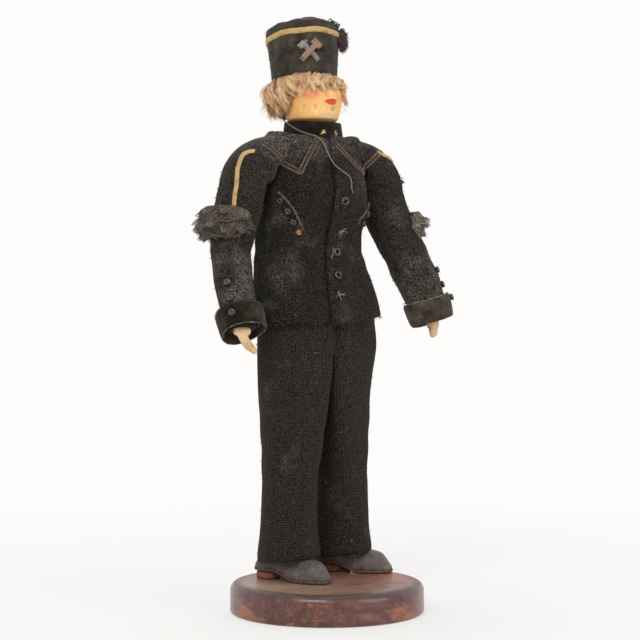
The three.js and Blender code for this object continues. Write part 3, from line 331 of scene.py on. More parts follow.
CAMERA_TURN = -33.0
CAMERA_DISTANCE = 0.7
CAMERA_HEIGHT = 0.12
CAMERA_SIDE = -0.0029
CAMERA_LENS = 95.5
SENSOR_WIDTH = 36
AMBIENT_TINT = (1.0, 0.99, 0.97, 1)
AMBIENT_STRENGTH = 0.5
BACKDROP_TINT = (0.99, 0.98, 0.965, 1)
FLOOR_TINT = (0.86, 0.855, 0.84, 1)
FLOOR_HALF = 4
LAMP_AIM = Vector((0, 0, 0.12))

# Each lamp's place, power and size
LAMPS = {
    "key": ((-0.95, -0.75, 0.95), 8.5, 0.7),
    "fill": ((0.55, -1.2, 0.45), 4.5, 0.9),
    "top": ((0.15, 0.35, 1.2), 4.0, 0.6),
}


def set_camera():
    turn = math.radians(CAMERA_TURN)
    across = circle(turn)
    ahead = UP.cross(across)
    data = bpy.data.cameras.new("camera")
    data.lens = CAMERA_LENS
    data.sensor_width = SENSOR_WIDTH
    data.clip_start = 0.01
    camera = put("camera", data)
    camera.location = across * CAMERA_SIDE - ahead * CAMERA_DISTANCE + UP * CAMERA_HEIGHT
    camera.rotation_euler = (math.pi / 2, 0, turn)
    bpy.context.scene.camera = camera


def set_light():
    world = bpy.data.worlds.new("studio")
    world.use_nodes = True
    bpy.context.scene.world = world
    studio = Nodes(world.node_tree)
    ambient = studio.tree.nodes["Background"]
    studio.feed(ambient.inputs["Color"], AMBIENT_TINT)
    studio.feed(ambient.inputs["Strength"], AMBIENT_STRENGTH)
    backdrop = studio.add("ShaderNodeBackground", [("Color", BACKDROP_TINT)])
    studio.show("World Output", studio.seen(), ambient, backdrop)
    for name, (place, power, size) in LAMPS.items():
        data = bpy.data.lights.new(name, "AREA")
        data.energy = power
        data.shape = "DISK"
        data.size = size
        lamp = put(name, data)
        lamp.location = place
        lamp.rotation_euler = (LAMP_AIM - Vector(place)).to_track_quat("-Z", "Y").to_euler()


def set_floor():
    """A pale floor that fades into the backdrop away from the base."""
    bm = bmesh.new()
    bmesh.ops.create_grid(bm, x_segments=2, y_segments=2, size=FLOOR_HALF)
    pale = Finish("pale_floor", Base_Color=FLOOR_TINT, Roughness=0.9, Specular_IOR_Level=0.1)
    glow = pale.add("ShaderNodeEmission", [("Color", BACKDROP_TINT)])
    away = pale.add("ShaderNodeVectorMath", [(0, pale.own())], operation="LENGTH").outputs["Value"]
    share = pale.times(pale.seen(), pale.spread(away, 0.05, 0.45, 0.6, 1.0))
    pale.show("Material Output", share, pale.shader, glow)
    floor = put("floor", mesh_from("floor", bm), pale)


bpy.context.scene.view_settings.view_transform = "Standard"
set_camera()
set_light()
set_floor()


# Finishes


# Dust lies on the shoulders, from this height to this one, up to so much
SHOULDER_DUST = (0.182, 0.199, 0.0, 0.32)


def wool_finish(name, dark, light, dust_and_light, dust_and_light_low, dust_and_light_high, knot=0.0009, depth=0.0005, rubbed=()):
    """Crinkled wool crepe: small knots over a plain weave, worn and dusty, most of all on the shoulders."""
    wool = Finish(name, Roughness=0.95, Specular_IOR_Level=0.06, Sheen_Weight=0.05, Sheen_Roughness=0.6)
    across, along = wool.cloth()
    body = wool.body()
    sway = wool.times(wool.noise(body, 0.003), THREAD_PITCH * 2.5)
    warp = wool.waves(wool.plus(across, sway), THREAD_PITCH)
    weft = wool.waves(wool.plus(along, sway), THREAD_PITCH)
    weave = wool.times(warp, weft)
    knots = wool.spread(wool.cells(body, knot), 0.1, 0.75, 1.0, 0.0)
    felt = wool.noise(body, 0.0006, 4.0, 0.7)
    thread = wool.plus(wool.times(weave, 0.3), wool.times(knots, 0.35))
    thread = wool.plus(thread, wool.times(felt, 0.45))
    base = wool.ramp(thread, (0.25, dark), (0.8, light))
    clouds = wool.noise(body, 0.014, 5.0, 0.6)
    settled = wool.spread(wool.height(), *SHOULDER_DUST)
    for centre, size, amount in rubbed:
        settled = wool.math("MAXIMUM", settled, wool.times(wool.patch(centre, 0, size), amount))
    clouds = wool.spread(wool.plus(clouds, settled), dust_and_light_low, dust_and_light_high)
    specks = wool.spread(wool.noise(body, 0.00075, 3.0, 0.6), 0.42, 0.68)
    # The dust colour over the weave; on the sleeves it also carries painted light
    tint = wool.mix(wool.times(clouds, specks), base, dust_and_light)
    lint = wool.spread(wool.noise(wool.body((1.0, 1.0, 0.35)), 0.0013, 2.0, 0.5), 0.75, 0.775, 0.0, 0.5)
    tint = wool.mix(lint, tint, (150, 140, 126))
    wool.paint(Base_Color=tint, Normal=wool.bump(thread, depth, 0.9))
    return wool


def velvet_finish(name, dark, worn, wear_low, wear_high):
    """Short pile, dark where it is whole and grey where it is rubbed."""
    velvet = Finish(name, Roughness=0.9, Specular_IOR_Level=0.08, Sheen_Weight=0.12, Sheen_Roughness=0.5)
    body = velvet.body()
    pile = velvet.noise(body, 0.0006, 4.0, 0.7)
    rubs = velvet.spread(velvet.noise(body, 0.007, 5.0, 0.65), wear_low, wear_high)
    tint = velvet.mix(velvet.times(rubs, pile), dark, worn)
    velvet.paint(Base_Color=tint, Normal=velvet.bump(pile, 0.0003, 0.8))
    return velvet


def strand_finish(name, dark, middle, light, rough=0.6, sheen=0.0):
    """Hair or thread: each strand carries a shade of its own, and every strand varies along its length."""
    hair = Finish(name, Roughness=rough, Sheen_Weight=sheen)
    shade = hair.add("ShaderNodeAttribute", attribute_name="shade").outputs["Fac"]
    mottle = hair.noise(hair.body(), 0.002, 2.0)
    value = hair.plus(hair.times(shade, 0.75), hair.times(mottle, 0.25))
    hair.paint(Base_Color=hair.ramp(value, (0.15, dark), (0.5, middle), (0.85, light)))
    return hair


def speckled_finish(name, dark, light, size, depth, **fixed):
    """A mottled surface of two shades with a fine grain."""
    plain = Finish(name, **fixed)
    body = plain.body()
    grain = plain.noise(body, size, 4.0, 0.65)
    plain.paint(Base_Color=plain.ramp(grain, (0.3, dark), (0.7, light)), Normal=plain.bump(grain, depth, 0.8))
    return plain


def twist_finish(name, dark, middle, light, pitch):
    """Braid or thread with slanting plies along the piece's own coordinates."""
    braid = Finish(name, Roughness=0.75, Sheen_Weight=0.2)
    across, along = braid.cloth()
    body = braid.body()
    slip = braid.times(braid.noise(body, 0.002), pitch * 1.5)
    slant = braid.waves(braid.plus(braid.plus(across, along), slip), pitch)
    fibre = braid.noise(body, 0.0006, 3.0, 0.7)
    value = braid.plus(braid.times(slant, 0.4), braid.times(fibre, 0.6))
    plies = braid.ramp(value, (0.2, dark), (0.6, middle), (0.85, light))
    tint = braid.mix(braid.spread(braid.noise(body, 0.004), 0.5, 0.75), plies, dark)
    braid.paint(Base_Color=tint, Normal=braid.bump(value, 0.0002, 0.8))
    return braid


def wood_finish():
    """Red-brown varnish over turned wood, worn to orange low on the side, with a dusty, rubbed top."""
    wood = Finish("old_varnish", Roughness=0.3, Specular_IOR_Level=0.5, Coat_Weight=0.25, Coat_Roughness=0.18)
    body = wood.body()
    height = wood.height()
    grain = wood.noise(wood.body((0.25, 2.2, 0.9)), 0.004, 5.0, 0.65)
    fine = wood.noise(wood.body((0.12, 3.0, 1.5)), 0.0012, 3.0, 0.6)
    blots = wood.noise(wood.body((0.6, 0.6, 1.3)), 0.009, 6.0, 0.72)
    varnish = wood.ramp(grain, (0.25, (46, 18, 17)), (0.5, (90, 49, 43)), (0.75, (124, 79, 68)))
    low = wood.spread(height, 0.0, 0.009, 0.12, 0.0)
    crumbs = wood.times(wood.math("SUBTRACT", wood.noise(body, 0.0011, 4.0, 0.7), 0.5), 0.3)
    rubbed = wood.spread(wood.plus(wood.plus(blots, low), crumbs), 0.57, 0.69)
    worn = wood.mix(rubbed, varnish, (156, 94, 60))
    mixed = wood.plus(wood.times(grain, 0.6), wood.times(fine, 0.4))
    top = wood.ramp(mixed, (0.38, (74, 40, 33)), (0.5, (122, 78, 62)), (0.62, (176, 126, 98)))
    scraped = wood.mix(wood.spread(blots, 0.36, 0.46, 0.85, 0.0), top, (74, 42, 36))
    dusted = wood.mix(wood.spread(blots, 0.5, 0.72, 0.0, 0.5), scraped, (156, 130, 112))
    pale = wood.patch((-0.026, 0.0, BASE_TOP), 0, (0.04, 0.04, 0.04))
    dusted = wood.mix(wood.times(pale, wood.spread(mixed, 0.3, 0.5)), dusted, (168, 144, 124))
    red = wood.patch((0.024, -0.006, BASE_TOP), 0, (0.034, 0.034, 0.03))
    dusted = wood.mix(wood.times(red, wood.spread(blots, 0.4, 0.58)), dusted, (160, 86, 62))
    streaks = wood.noise(wood.body((0.2, 1.6, 1.0)), 0.0016, 4.0, 0.7)
    dusted = wood.mix(wood.spread(streaks, 0.64, 0.7, 0.0, 0.6), dusted, (200, 168, 142))
    tint = wood.mix(wood.spread(height, 0.0117, 0.01246), worn, dusted)
    # Painted shade: a dark band round the top's outer edge, strongest on the rounded lip
    rim = wood.patch((0, 0, BASE_TOP), 0, (0.0395, 0.0395, 0.02))
    ring = wood.times(wood.spread(rim, 0.035, 0.15, 0.9, 0.0), wood.spread(height, 0.0102, 0.012))
    tint = wood.mix(ring, tint, (54, 28, 25))
    rough = wood.spread(height, 0.0115, 0.0125, 0.24, 0.6)
    wood.paint(Base_Color=tint, Roughness=wood.plus(rough, wood.times(rubbed, 0.2)),
               Normal=wood.bump(fine, 0.00025, 0.5))
    return wood


def shoe_finish():
    """Dark grey paint with a dull shine, scuffed and dusty."""
    shoe = Finish("shoe_grey", Roughness=0.5, Specular_IOR_Level=0.4)
    body = shoe.body()
    scuffs = shoe.noise(body, 0.0035, 5.0, 0.7)
    fine = shoe.noise(body, 0.0008, 3.0, 0.6)
    tint = shoe.ramp(scuffs, (0.3, (56, 50, 47)), (0.55, (94, 86, 81)), (0.75, (138, 127, 118)))
    shoe.paint(Base_Color=shoe.mix(shoe.spread(fine, 0.6, 0.75, 0.0, 0.5), tint, (150, 140, 130)),
               Roughness=shoe.spread(scuffs, 0.3, 0.7, 0.4, 0.7), Normal=shoe.bump(scuffs, 0.0003, 0.5))
    return shoe


def flesh_finish(name, spots=True, shades=((238, 174, 104), (250, 196, 124), (255, 213, 148))):
    """Painted papier-mache: yellowed flesh paint, pits, hair cracks, and the face painted on it."""
    flesh = Finish(name, Roughness=0.55, Specular_IOR_Level=0.3)
    body = flesh.body()
    clouds = flesh.noise(body, 0.007, 4.0, 0.6)
    tint = flesh.ramp(clouds, *zip((0.3, 0.55, 0.75), shades))
    pits = flesh.spread(flesh.noise(body, 0.0011, 3.0, 0.6), 0.66, 0.74)
    tint = flesh.mix(flesh.times(pits, 0.45), tint, (178, 112, 62))
    ripple = flesh.add("ShaderNodeTexNoise", [("Vector", body), ("Scale", 500)]).outputs[1]
    sway = flesh.add("ShaderNodeMixRGB", [("Fac", 0.0015), ("Color1", body), ("Color2", ripple)])
    lines = flesh.cells(sway.outputs[0], 0.0052, "DISTANCE_TO_EDGE")
    cracks = flesh.spread(lines, 0.0, 0.025, 1.0, 0.0)
    broken = flesh.times(cracks, flesh.spread(flesh.noise(body, 0.004), 0.5, 0.6))
    tint = flesh.mix(flesh.times(broken, 0.5), tint, (150, 98, 58))
    if spots:
        tint = paint_face(flesh, body, tint)
    flesh.paint(Base_Color=tint, Normal=flesh.bump(flesh.plus(pits, broken), -0.0002, 0.8))
    return flesh


def on_face(angle, rise):
    """A place on the painted face: degrees from its middle and millimetres above the jaw."""
    return beside(HEAD, angle + FACE_TURN, HEAD_RADIUS, JAW_HEIGHT + rise)


# White, iris and brow: the rise above the jaw, half sizes, softness of the rim and colour
EYE_PAINT = [
    (14.2, (0.0021, 0.004, 0.0011), 0.15, (236, 226, 206)),
    (14.2, (0.0009, 0.004, 0.0010), 0.2, (62, 52, 46)),
    (16.8, (0.0026, 0.004, 0.0006), 0.3, (120, 80, 50)),
]


def paint_face(flesh, body, tint):
    """Blush, eyes, brows and mouth, a painted shadow under the lower lip, and the chips and the bare chin of an
    old face.
    """
    ragged = flesh.noise(body, 0.0012, 3.0)
    facing = HEAD_TURN + FACE_TURN
    for angle in (-43, 43):
        blush = flesh.patch(on_face(angle, 10.4), facing + angle, (0.0042, 0.005, 0.0029))
        tint = flesh.mix(flesh.spread(blush, 0.0, 0.55, 0.0, 0.62), tint, (226, 118, 92))
    for angle in (-21, 21):
        for rise, size, soft, tone in EYE_PAINT:
            shape = flesh.spread(flesh.patch(on_face(angle, rise), facing + angle, size), 0.0, soft)
            tint = flesh.mix(shape, tint, tone)
    mouth = flesh.patch(on_face(0, 7.5), facing, (0.0033, 0.006, 0.0014))
    edge = flesh.plus(mouth, flesh.times(flesh.math("SUBTRACT", ragged, 0.5), 0.35))
    tint = flesh.mix(flesh.spread(edge, 0.05, 0.2), tint, (206, 82, 60))
    # Painted shadow: a ragged grey-brown patch under the lower lip
    dark = flesh.times(flesh.patch(on_face(5, 4.6), facing, (0.002, 0.006, 0.0022)), ragged)
    tint = flesh.mix(flesh.spread(dark, 0.12, 0.4, 0.0, 0.6), tint, (112, 92, 62))
    chips = flesh.spread(flesh.noise(body, 0.0016, 4.0, 0.7), 0.66, 0.7)
    chin = flesh.spread(flesh.patch(on_face(-4, 4.0), facing, (0.008, 0.009, 0.006)), 0.0, 0.5)
    tint = flesh.mix(flesh.times(chips, chin), tint, (120, 76, 44))
    loss = flesh.patch(on_face(-9, 1.6), facing, (0.0074, 0.008, 0.0027))
    flakes = flesh.math("SUBTRACT", flesh.noise(body, 0.0009, 4.0, 0.7), 0.5)
    bare = flesh.plus(loss, flesh.times(flakes, 3.4))
    return flesh.mix(flesh.spread(bare, 0.66, 0.78), tint, (242, 230, 210))


def foil_finish(name, dark, light):
    """Crumpled metal foil, dulled."""
    foil = Finish(name, Metallic=0.75, Roughness=0.42)
    body = foil.body()
    dull = foil.noise(body, 0.0018, 4.0, 0.65)
    creases = foil.cells(body, 0.0014)
    foil.paint(Base_Color=foil.ramp(dull, (0.3, dark), (0.7, light)),
               Roughness=foil.spread(dull, 0.3, 0.7, 0.3, 0.65), Normal=foil.bump(creases, 0.0003, 0.6))
    return foil


def glass_finish(name, tint, glint):
    """Small glass rings, lighter in patches: dust in their hollows, and a painted glint."""
    glass = Finish(name, Roughness=0.3, Specular_IOR_Level=0.45, Coat_Weight=0.15, Coat_Roughness=0.15)
    body = glass.body()
    # The lighter patches are dust and a painted glint at once: the glint colour is mixed in where this mask is
    # high
    dust_and_light = glass.spread(glass.noise(body, 0.0012, 4.0, 0.6), 0.5, 0.7)
    glass.paint(Base_Color=glass.mix(glass.times(dust_and_light, 0.5), tint, glint),
                Roughness=glass.spread(dust_and_light, 0.0, 1.0, 0.24, 0.6))
    return glass


WOOL = wool_finish("black_wool", (13, 11, 10), (64, 58, 52), (106, 97, 88), 0.56, 0.78)
DUSTY_WOOL = wool_finish("dusty_wool", (13, 11, 10), (60, 55, 49), (128, 118, 108), 0.56, 0.8,
                         rubbed=[((-0.029, -0.005, 0.1405), (0.024, 0.024, 0.023), 0.45)])
# Both sleeves are lighter than the jacket: dust, and painted light from the lamp side, most of all on the near
# (right) sleeve
SLEEVE_WOOL = {
    "right": wool_finish("sleeve_wool", (17, 15, 13), (78, 71, 65), (138, 128, 117), 0.52, 0.78,
                         rubbed=[((-0.04, 0.006, 0.138), (0.024, 0.024, 0.03), 0.13)]),
    "left": wool_finish("far_sleeve_wool", (17, 15, 13), (74, 67, 61), (132, 122, 111), 0.58, 0.82,
                        rubbed=[((0.049, 0.004, 0.134), (0.023, 0.023, 0.027), 0.36)]),
}
TROUSER_WOOL = wool_finish("trouser_wool", (6, 5, 4), (76, 69, 61), (112, 103, 93), 0.56, 0.79,
                           knot=0.0005, depth=0.0004)
# Painted shade: a dark speckled finish for hidden solids that show through gaps, so that the cuff openings and
# the split between the legs look shaded
PAINTED_SHADE_DARK = speckled_finish("painted_shade_dark", (20, 17, 15), (44, 38, 33), 0.001, 0.0002, Roughness=0.95)
VELVET = velvet_finish("black_velvet", (30, 24, 19), (92, 78, 64), 0.46, 0.74)
DARK_VELVET = velvet_finish("dark_velvet", (24, 18, 14), (70, 58, 46), 0.5, 0.8)
WORN_VELVET = velvet_finish("worn_velvet", (40, 34, 29), (116, 103, 90), 0.34, 0.62)
HAT_VELVET = velvet_finish("hat_velvet", (46, 41, 35), (112, 101, 88), 0.38, 0.7)
WOOL_THREAD = strand_finish("wool_fuzz", (22, 20, 18), (54, 49, 44), (104, 96, 87), 0.9)
PALE_THREAD = strand_finish("pale_thread", (96, 88, 78), (150, 140, 128), (200, 190, 176), 0.85)
GOLD_BRAID = twist_finish("yellow_braid", (150, 114, 66), (208, 174, 112), (236, 208, 148), 0.0009)
STITCH_THREAD = strand_finish("yellow_thread", (190, 150, 78), (228, 196, 120), (246, 228, 170), 0.7)
BROWN_BRAID = twist_finish("brown_braid", (52, 38, 30), (96, 74, 58), (136, 110, 90), 0.0012)
RUSSET_CORD = twist_finish("russet_cord", (52, 34, 26), (98, 70, 54), (138, 108, 86), 0.0011)
BROWN_THREAD = strand_finish("brown_thread", (60, 42, 34), (106, 80, 62), (150, 122, 98), 0.8)
FUR = strand_finish("dark_fur", (40, 33, 28), (92, 79, 68), (160, 142, 124), 0.7, 0.2)
PALE_FUR = strand_finish("pale_fur", (58, 49, 42), (122, 108, 94), (188, 172, 154), 0.7, 0.2)
FUR_CORE = speckled_finish("fur_root", (34, 28, 24), (70, 60, 52), 0.0012, 0.0004, Roughness=0.9)
MOHAIR = strand_finish("mohair", (122, 78, 50), (230, 178, 126), (255, 228, 186), 0.55, 0.2)
WIG_CAP = speckled_finish("hair_root", (138, 98, 70), (196, 150, 110), 0.0014, 0.0004, Roughness=0.8)
TUFT_WOOL = strand_finish("tuft_wool", (34, 24, 26), (70, 52, 54), (120, 98, 96), 0.85, 0.2)
TUFT_CORE = speckled_finish("tuft_root", (32, 23, 25), (74, 56, 57), 0.0011, 0.0006, Roughness=0.9)
THREAD_GREY = speckled_finish("grey_thread", (92, 82, 72), (150, 138, 124), 0.0007, 0.0001, Roughness=0.85)
WOOD = wood_finish()
RAW_WOOD = speckled_finish("worn_wood", (92, 52, 40), (150, 92, 70), 0.0022, 0.0003, Roughness=0.75)
SOLE = speckled_finish("sole_board", (66, 46, 36), (112, 84, 66), 0.0018, 0.0003, Roughness=0.85)
PULP = speckled_finish("paper_pulp", (74, 64, 54), (112, 98, 84), 0.003, 0.0004, Roughness=0.9)
STEEL = speckled_finish("dull_wire", (110, 108, 104), (160, 158, 152), 0.002, 0.0001, Metallic=0.8,
                        Roughness=0.4)
SHOE = shoe_finish()
FACE = flesh_finish("face_paint")
HAND = flesh_finish("hand_paint", spots=False, shades=((206, 164, 118), (228, 194, 152), (242, 216, 180)))
TIN = foil_finish("tin_foil", (74, 70, 67), (146, 140, 135))
COPPER = foil_finish("copper_foil", (84, 67, 59), (156, 130, 113))
GLASS = glass_finish("dark_glass", (34, 30, 26), (112, 100, 88))
GOLD_GLASS = glass_finish("gold_glass", (138, 100, 54), (214, 184, 134))


# Making pieces

# A strand's section has this many corners
SECTION_CORNERS = 4


def make(name, bm, finish, body=None, nodes=(), wall=0.0, levels=0, inside=None):
    """A finished piece from a mesh: thickened inwards by a wall in millimetres, rounded, smooth, and tied."""
    if inside is not None:
        face_out(bm, inside)
    obj = put(name, mesh_from(name, bm), finish)
    if wall:
        solid = obj.modifiers.new("wall", "SOLIDIFY")
        solid.thickness = wall * MM
        solid.offset = -1
    if levels:
        rounder = obj.modifiers.new("round", "SUBSURF")
        rounder.levels = levels
        rounder.render_levels = levels
    bake(obj)
    return tie(obj, body, nodes)


def tie(obj, body=None, nodes=()):
    """Ties a piece to the frame: the solids it stands for and the body it rides on."""
    if nodes:
        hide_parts(*nodes)
    if body:
        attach(obj, body)
    return obj


def evaluated(obj):
    graph = bpy.context.evaluated_depsgraph_get()
    graph.update()
    return bpy.data.meshes.new_from_object(obj.evaluated_get(graph))


def bake(obj):
    """The modifiers become the mesh."""
    if obj.modifiers:
        mesh = evaluated(obj)
        obj.modifiers.clear()
        obj.data = mesh
    obj.data.shade_smooth()


def face_out(bm, inside):
    """Turns the faces so that they look away from a place inside."""
    bm.normal_update()
    facing = 0.0
    for face in bm.faces:
        facing += (face.calc_center_median() - inside).dot(face.normal) * face.calc_area()
    if facing < 0:
        bmesh.ops.reverse_faces(bm, faces=bm.faces[:])


def laid_grid(columns, rows, place, width, length, closed=False):
    """A grid of faces laid over a shape: place(across, along) gives each corner, both from 0 to 1."""
    bm = bmesh.new()
    weave = bm.loops.layers.uv.new("weave")
    bmesh.ops.create_grid(bm, x_segments=columns, y_segments=rows, size=0.5)
    half = max(vert.co.x for vert in bm.verts)
    for vert in bm.verts:
        vert.co = (vert.co.x / half / 2 + 0.5, vert.co.y / half / 2 + 0.5, 0)
    for face in bm.faces:
        for loop in face.loops:
            loop[weave].uv = (loop.vert.co.x * width, loop.vert.co.y * length)
    for vert in bm.verts:
        vert.co = place(vert.co.x, vert.co.y)
    if closed:
        bmesh.ops.remove_doubles(bm, verts=bm.verts[:], dist=WELD)
    return bm


def sealed(bm):
    """Open ends are filled and all faces look out."""
    bmesh.ops.holes_fill(bm, edges=[edge for edge in bm.edges if edge.is_boundary], sides=0)
    bmesh.ops.recalc_face_normals(bm, faces=bm.faces[:])
    return bm


def spun(bm, steps):
    """All that a mesh holds, spun once about +Z."""
    bmesh.ops.spin(bm, geom=bm.verts[:] + bm.edges[:], cent=(0, 0, 0), axis=(0, 0, 1), angle=TURN,
                   steps=steps, use_merge=True)
    bmesh.ops.remove_doubles(bm, verts=bm.verts[:], dist=WELD)
    bmesh.ops.recalc_face_normals(bm, faces=bm.faces[:])
    return bm


def tree_of(meshes):
    """The outside of some meshes, for rays."""
    bm = bmesh.new()
    for mesh in meshes:
        bm.from_mesh(mesh)
    tree = BVHTree.FromBMesh(bm)
    bm.free()
    return tree


def solid_tree(*nodes):
    return tree_of(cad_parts[node].data for node in nodes)


def cloth_tree(*pieces):
    return tree_of(piece.data for piece in pieces)


def outermost(tree, hub, out):
    """Where a line from a hub comes out of a tree."""
    return tree.ray_cast(hub + out * PROBE, -out, PROBE)[0]


class Wrap:
    """The outside of some solids, measured round a row of stations, so that cloth can be laid over it.

    A station is a centre and two directions; a turn counts from 0 to 1 from the first to the second.
    """

    FAR = 0.09
    SWINGS = (-0.02, 0.0, 0.02)

    def __init__(self, nodes, stations, columns, passes=2):
        self.tree = solid_tree(*nodes)
        self.stations = stations
        self.columns = columns
        self.radii = [self.measure(*station) for station in stations]
        for _ in range(passes):
            self.relax()

    def measure(self, centre, out, ahead):
        radii = []
        for column in range(self.columns):
            reach = 0.0
            for swing in self.SWINGS:
                way = swung(out, ahead, TURN * column / self.columns + swing)
                hit = self.tree.ray_cast(centre + way * self.FAR, -way, self.FAR)
                if hit[0] is not None:
                    reach = max(reach, self.FAR - hit[3])
            radii.append(reach)
        known = [value for value in radii if value > 0] or [0.01]
        middle = sum(known) / len(known)
        for column in range(self.columns):
            if radii[column] <= 0:
                near = [radii[(column + step) % self.columns] for step in range(-6, 7)]
                near = [value for value in near if value > 0] or [middle]
                radii[column] = sum(near) / len(near)
        return radii

    def relax(self):
        count = self.columns
        eased = []
        for row, radii in enumerate(self.radii):
            above = self.radii[min(row + 1, len(self.radii) - 1)]
            below = self.radii[max(row - 1, 0)]
            eased.append([(2 * radii[i] + radii[i - 1] + radii[(i + 1) % count] + above[i] + below[i]) / 6
                          for i in range(count)])
        self.radii = eased

    def reach(self, turn, row):
        place = (turn % 1.0) * self.columns
        first = int(place) % self.columns
        radii = self.radii[row]
        return lerp(radii[first], radii[(first + 1) % self.columns], place - int(place))

    def on(self, turn, row, lift=0.0):
        centre, out, ahead = self.stations[row]
        return centre + swung(out, ahead, TURN * turn) * (self.reach(turn, row) + lift)


def thin_curve(name, paths, thickness, tip, resolution):
    """A curve with a thin section along each path, drawn in towards the tip."""
    curve = bpy.data.curves.new(name, "CURVE")
    curve.dimensions = "3D"
    curve.bevel_depth = thickness / 2
    curve.bevel_resolution = resolution
    curve.resolution_u = 1
    for path in paths:
        spline = curve.splines.new("POLY")
        spline.points.add(len(path) - 1)
        for step, place in enumerate(path):
            spline.points[step].co = (*place, 1)
            spline.points[step].radius = lerp(1.0, tip, (step / (len(path) - 1)) ** 2)
    return curve


def strands(name, paths, thickness, finish, body, tip=0.35, seed=1, shades=None):
    """Many thin strands as one piece, each with a shade of its own."""
    chance = random.Random(seed)
    guide = put(name + "_guide", thin_curve(name, paths, thickness, tip, 0))
    mesh = evaluated(guide)
    bpy.data.objects.remove(guide)
    mesh.name = name
    values = []
    for number, path in enumerate(paths):
        values += [shades[number] if shades else chance.random()] * (SECTION_CORNERS * len(path))
    mesh.attributes.new("shade", "FLOAT", "POINT").data.foreach_set("value", values)
    mesh.shade_smooth()
    return tie(put(name, mesh, finish), body)


def any_way(chance):
    return Vector((chance.gauss(0, 1), chance.gauss(0, 1), chance.gauss(0, 1))).normalized()


def shade_near(light, low, high, chance):
    return min(1.0, max(0.0, light + chance.uniform(low, high)))


def grown(root, way, length, chance, sag=0.4, curl=0.25, steps=5):
    """One hair: it leaves its root, wanders and sags."""
    path = [root.copy()]
    heading = way.normalized()
    for _ in range(steps):
        heading = (heading - UP * (sag / steps) + any_way(chance) * curl / math.sqrt(steps)).normalized()
        path.append(path[-1] + heading * (length / steps))
    return path


def fuzz_hair(root, out, long, chance):
    """One hair of a cloth's fuzz; a few are longer than the others."""
    length = chance.uniform(0.4, 1.3) * (long if chance.random() < 0.06 else 1.0)
    return grown(root, out + any_way(chance) * 0.9, length * MM, chance, 0.2, 0.6, 3)


def bent(points, steps):
    """A smooth way through some points, evenly stepped in its share."""
    path = []
    last = len(points) - 1
    for step in range(steps + 1):
        place = step / steps * last
        first = min(int(place), last - 1)
        share = place - first
        before = points[max(first - 1, 0)]
        a, b = points[first], points[first + 1]
        after = points[min(first + 2, last)]
        path.append(0.5 * ((2 * a) + (b - before) * share + (2 * before - 5 * a + 4 * b - after) * share ** 2
                           + (3 * a - before - 3 * b + after) * share ** 3))
    return path


def tube_along(path, radius, sides, flat, normals):
    """A closed tube round a path, a radius in millimetres; flat makes it lower along the normals."""
    last = len(path) - 1
    radius *= MM

    def place(across, along):
        row = round(along * (last + 2)) - 1
        here = min(max(row, 0), last)
        tangent = (path[min(here + 1, last)] - path[max(here - 1, 0)]).normalized()
        side = tangent.cross(normals[here]).normalized()
        up = side.cross(tangent).normalized()
        shrink = 0.05 if row < 0 or row > last else 1.0
        return path[here] + swung(side, up * flat, TURN * across) * radius * shrink

    return laid_grid(sides, last + 2, place, TURN * radius, length_of(path), closed=True)


def joined(pieces):
    """Several meshes as one."""
    whole = bmesh.new()
    for bm in pieces:
        mesh = mesh_from("part", bm)
        whole.from_mesh(mesh)
        bpy.data.meshes.remove(mesh)
    return whole


# The loose thread comes first: it is a free cord

THREAD_DIAMETER = 0.0005
THREAD_STEPS = 70
THREAD_ROUTE = [
    (-12.9, 5.6, 191.6), (-12.7, 2.2, 189.6), (-12.2, -1.6, 187.6), (-11.2, -5.0, 185.9),
    (-9.0, -8.2, 184.6), (-6.6, -10.6, 183.4), (-4.9, -13.2, 180.6), (-4.1, -14.6, 177.4),
    (-3.2, -15.6, 174.4), (-1.2, -16.3, 171.4), (2.2, -16.8, 169.0), (5.2, -16.9, 167.2),
    (6.5, -16.9, 164.9), (6.6, -16.9, 162.2), (7.4, -16.8, 160.2),
]


def add_thread():
    route = bent([spot(*place) for place in THREAD_ROUTE], THREAD_STEPS)
    curve = thin_curve("loose_thread_visual", [route], THREAD_DIAMETER, 1.0, 1)
    curve.use_fill_caps = True
    thread = put("loose_thread_visual", curve, THREAD_GREY)
    tie(thread, STANDING, ["loose_thread"])
    tuple(route[0])
    length_of(route)


add_thread()


# Base, shoes and trousers

BASE_RADIUS = 40.0
BASE_THICKNESS = 12.5
BASE_SIDES = 128


def arc(centre, radius, start, end, steps):
    """Corner points of an arc, in degrees."""
    turns = [math.radians(lerp(start, end, step / steps)) for step in range(steps + 1)]
    return [(centre[0] + radius * math.cos(turn), centre[1] + radius * math.sin(turn)) for turn in turns]


def add_base():
    profile = [(0, 0), (30, 0), (36, 0)]
    profile += arc((BASE_RADIUS - 1.4, 1.4), 1.4, -90, 0, 4)
    profile += [(BASE_RADIUS - 0.05, 3.4), (BASE_RADIUS - 0.1, 6.5)]
    profile += arc((BASE_RADIUS - 3.3, BASE_THICKNESS - 3.2), 3.2, 0, 90, 8)
    profile += [(radius, BASE_THICKNESS) for radius in (33, 20, 8, 0)]
    bm = bmesh.new()
    corners = [bm.verts.new((radius * MM, 0, height * MM)) for radius, height in profile]
    for first, second in zip(corners, corners[1:]):
        bm.edges.new((first, second))
    make("base", spun(bm, BASE_SIDES), WOOD, STANDING, ["base_disc"])


# Each foot's place and turn
FEET = {"right": (-16.98, -4.23, 21.0), "left": (16.98, 4.23, 42.0)}
FOOT_LENGTH = 36.0
FOOT_WIDTH = 13.0
HEEL_SETBACK = 15.0
HEEL_SHARE = 0.303
HEEL_HEIGHT = 3.3
BALL_SHARE = 0.62
INSTEP_HEIGHT = 11.4
TOE_HEIGHT = 1.7
SOLE_THICKNESS = 1.3
HEEL_FRONT = {"right": 0.293, "left": 0.42}

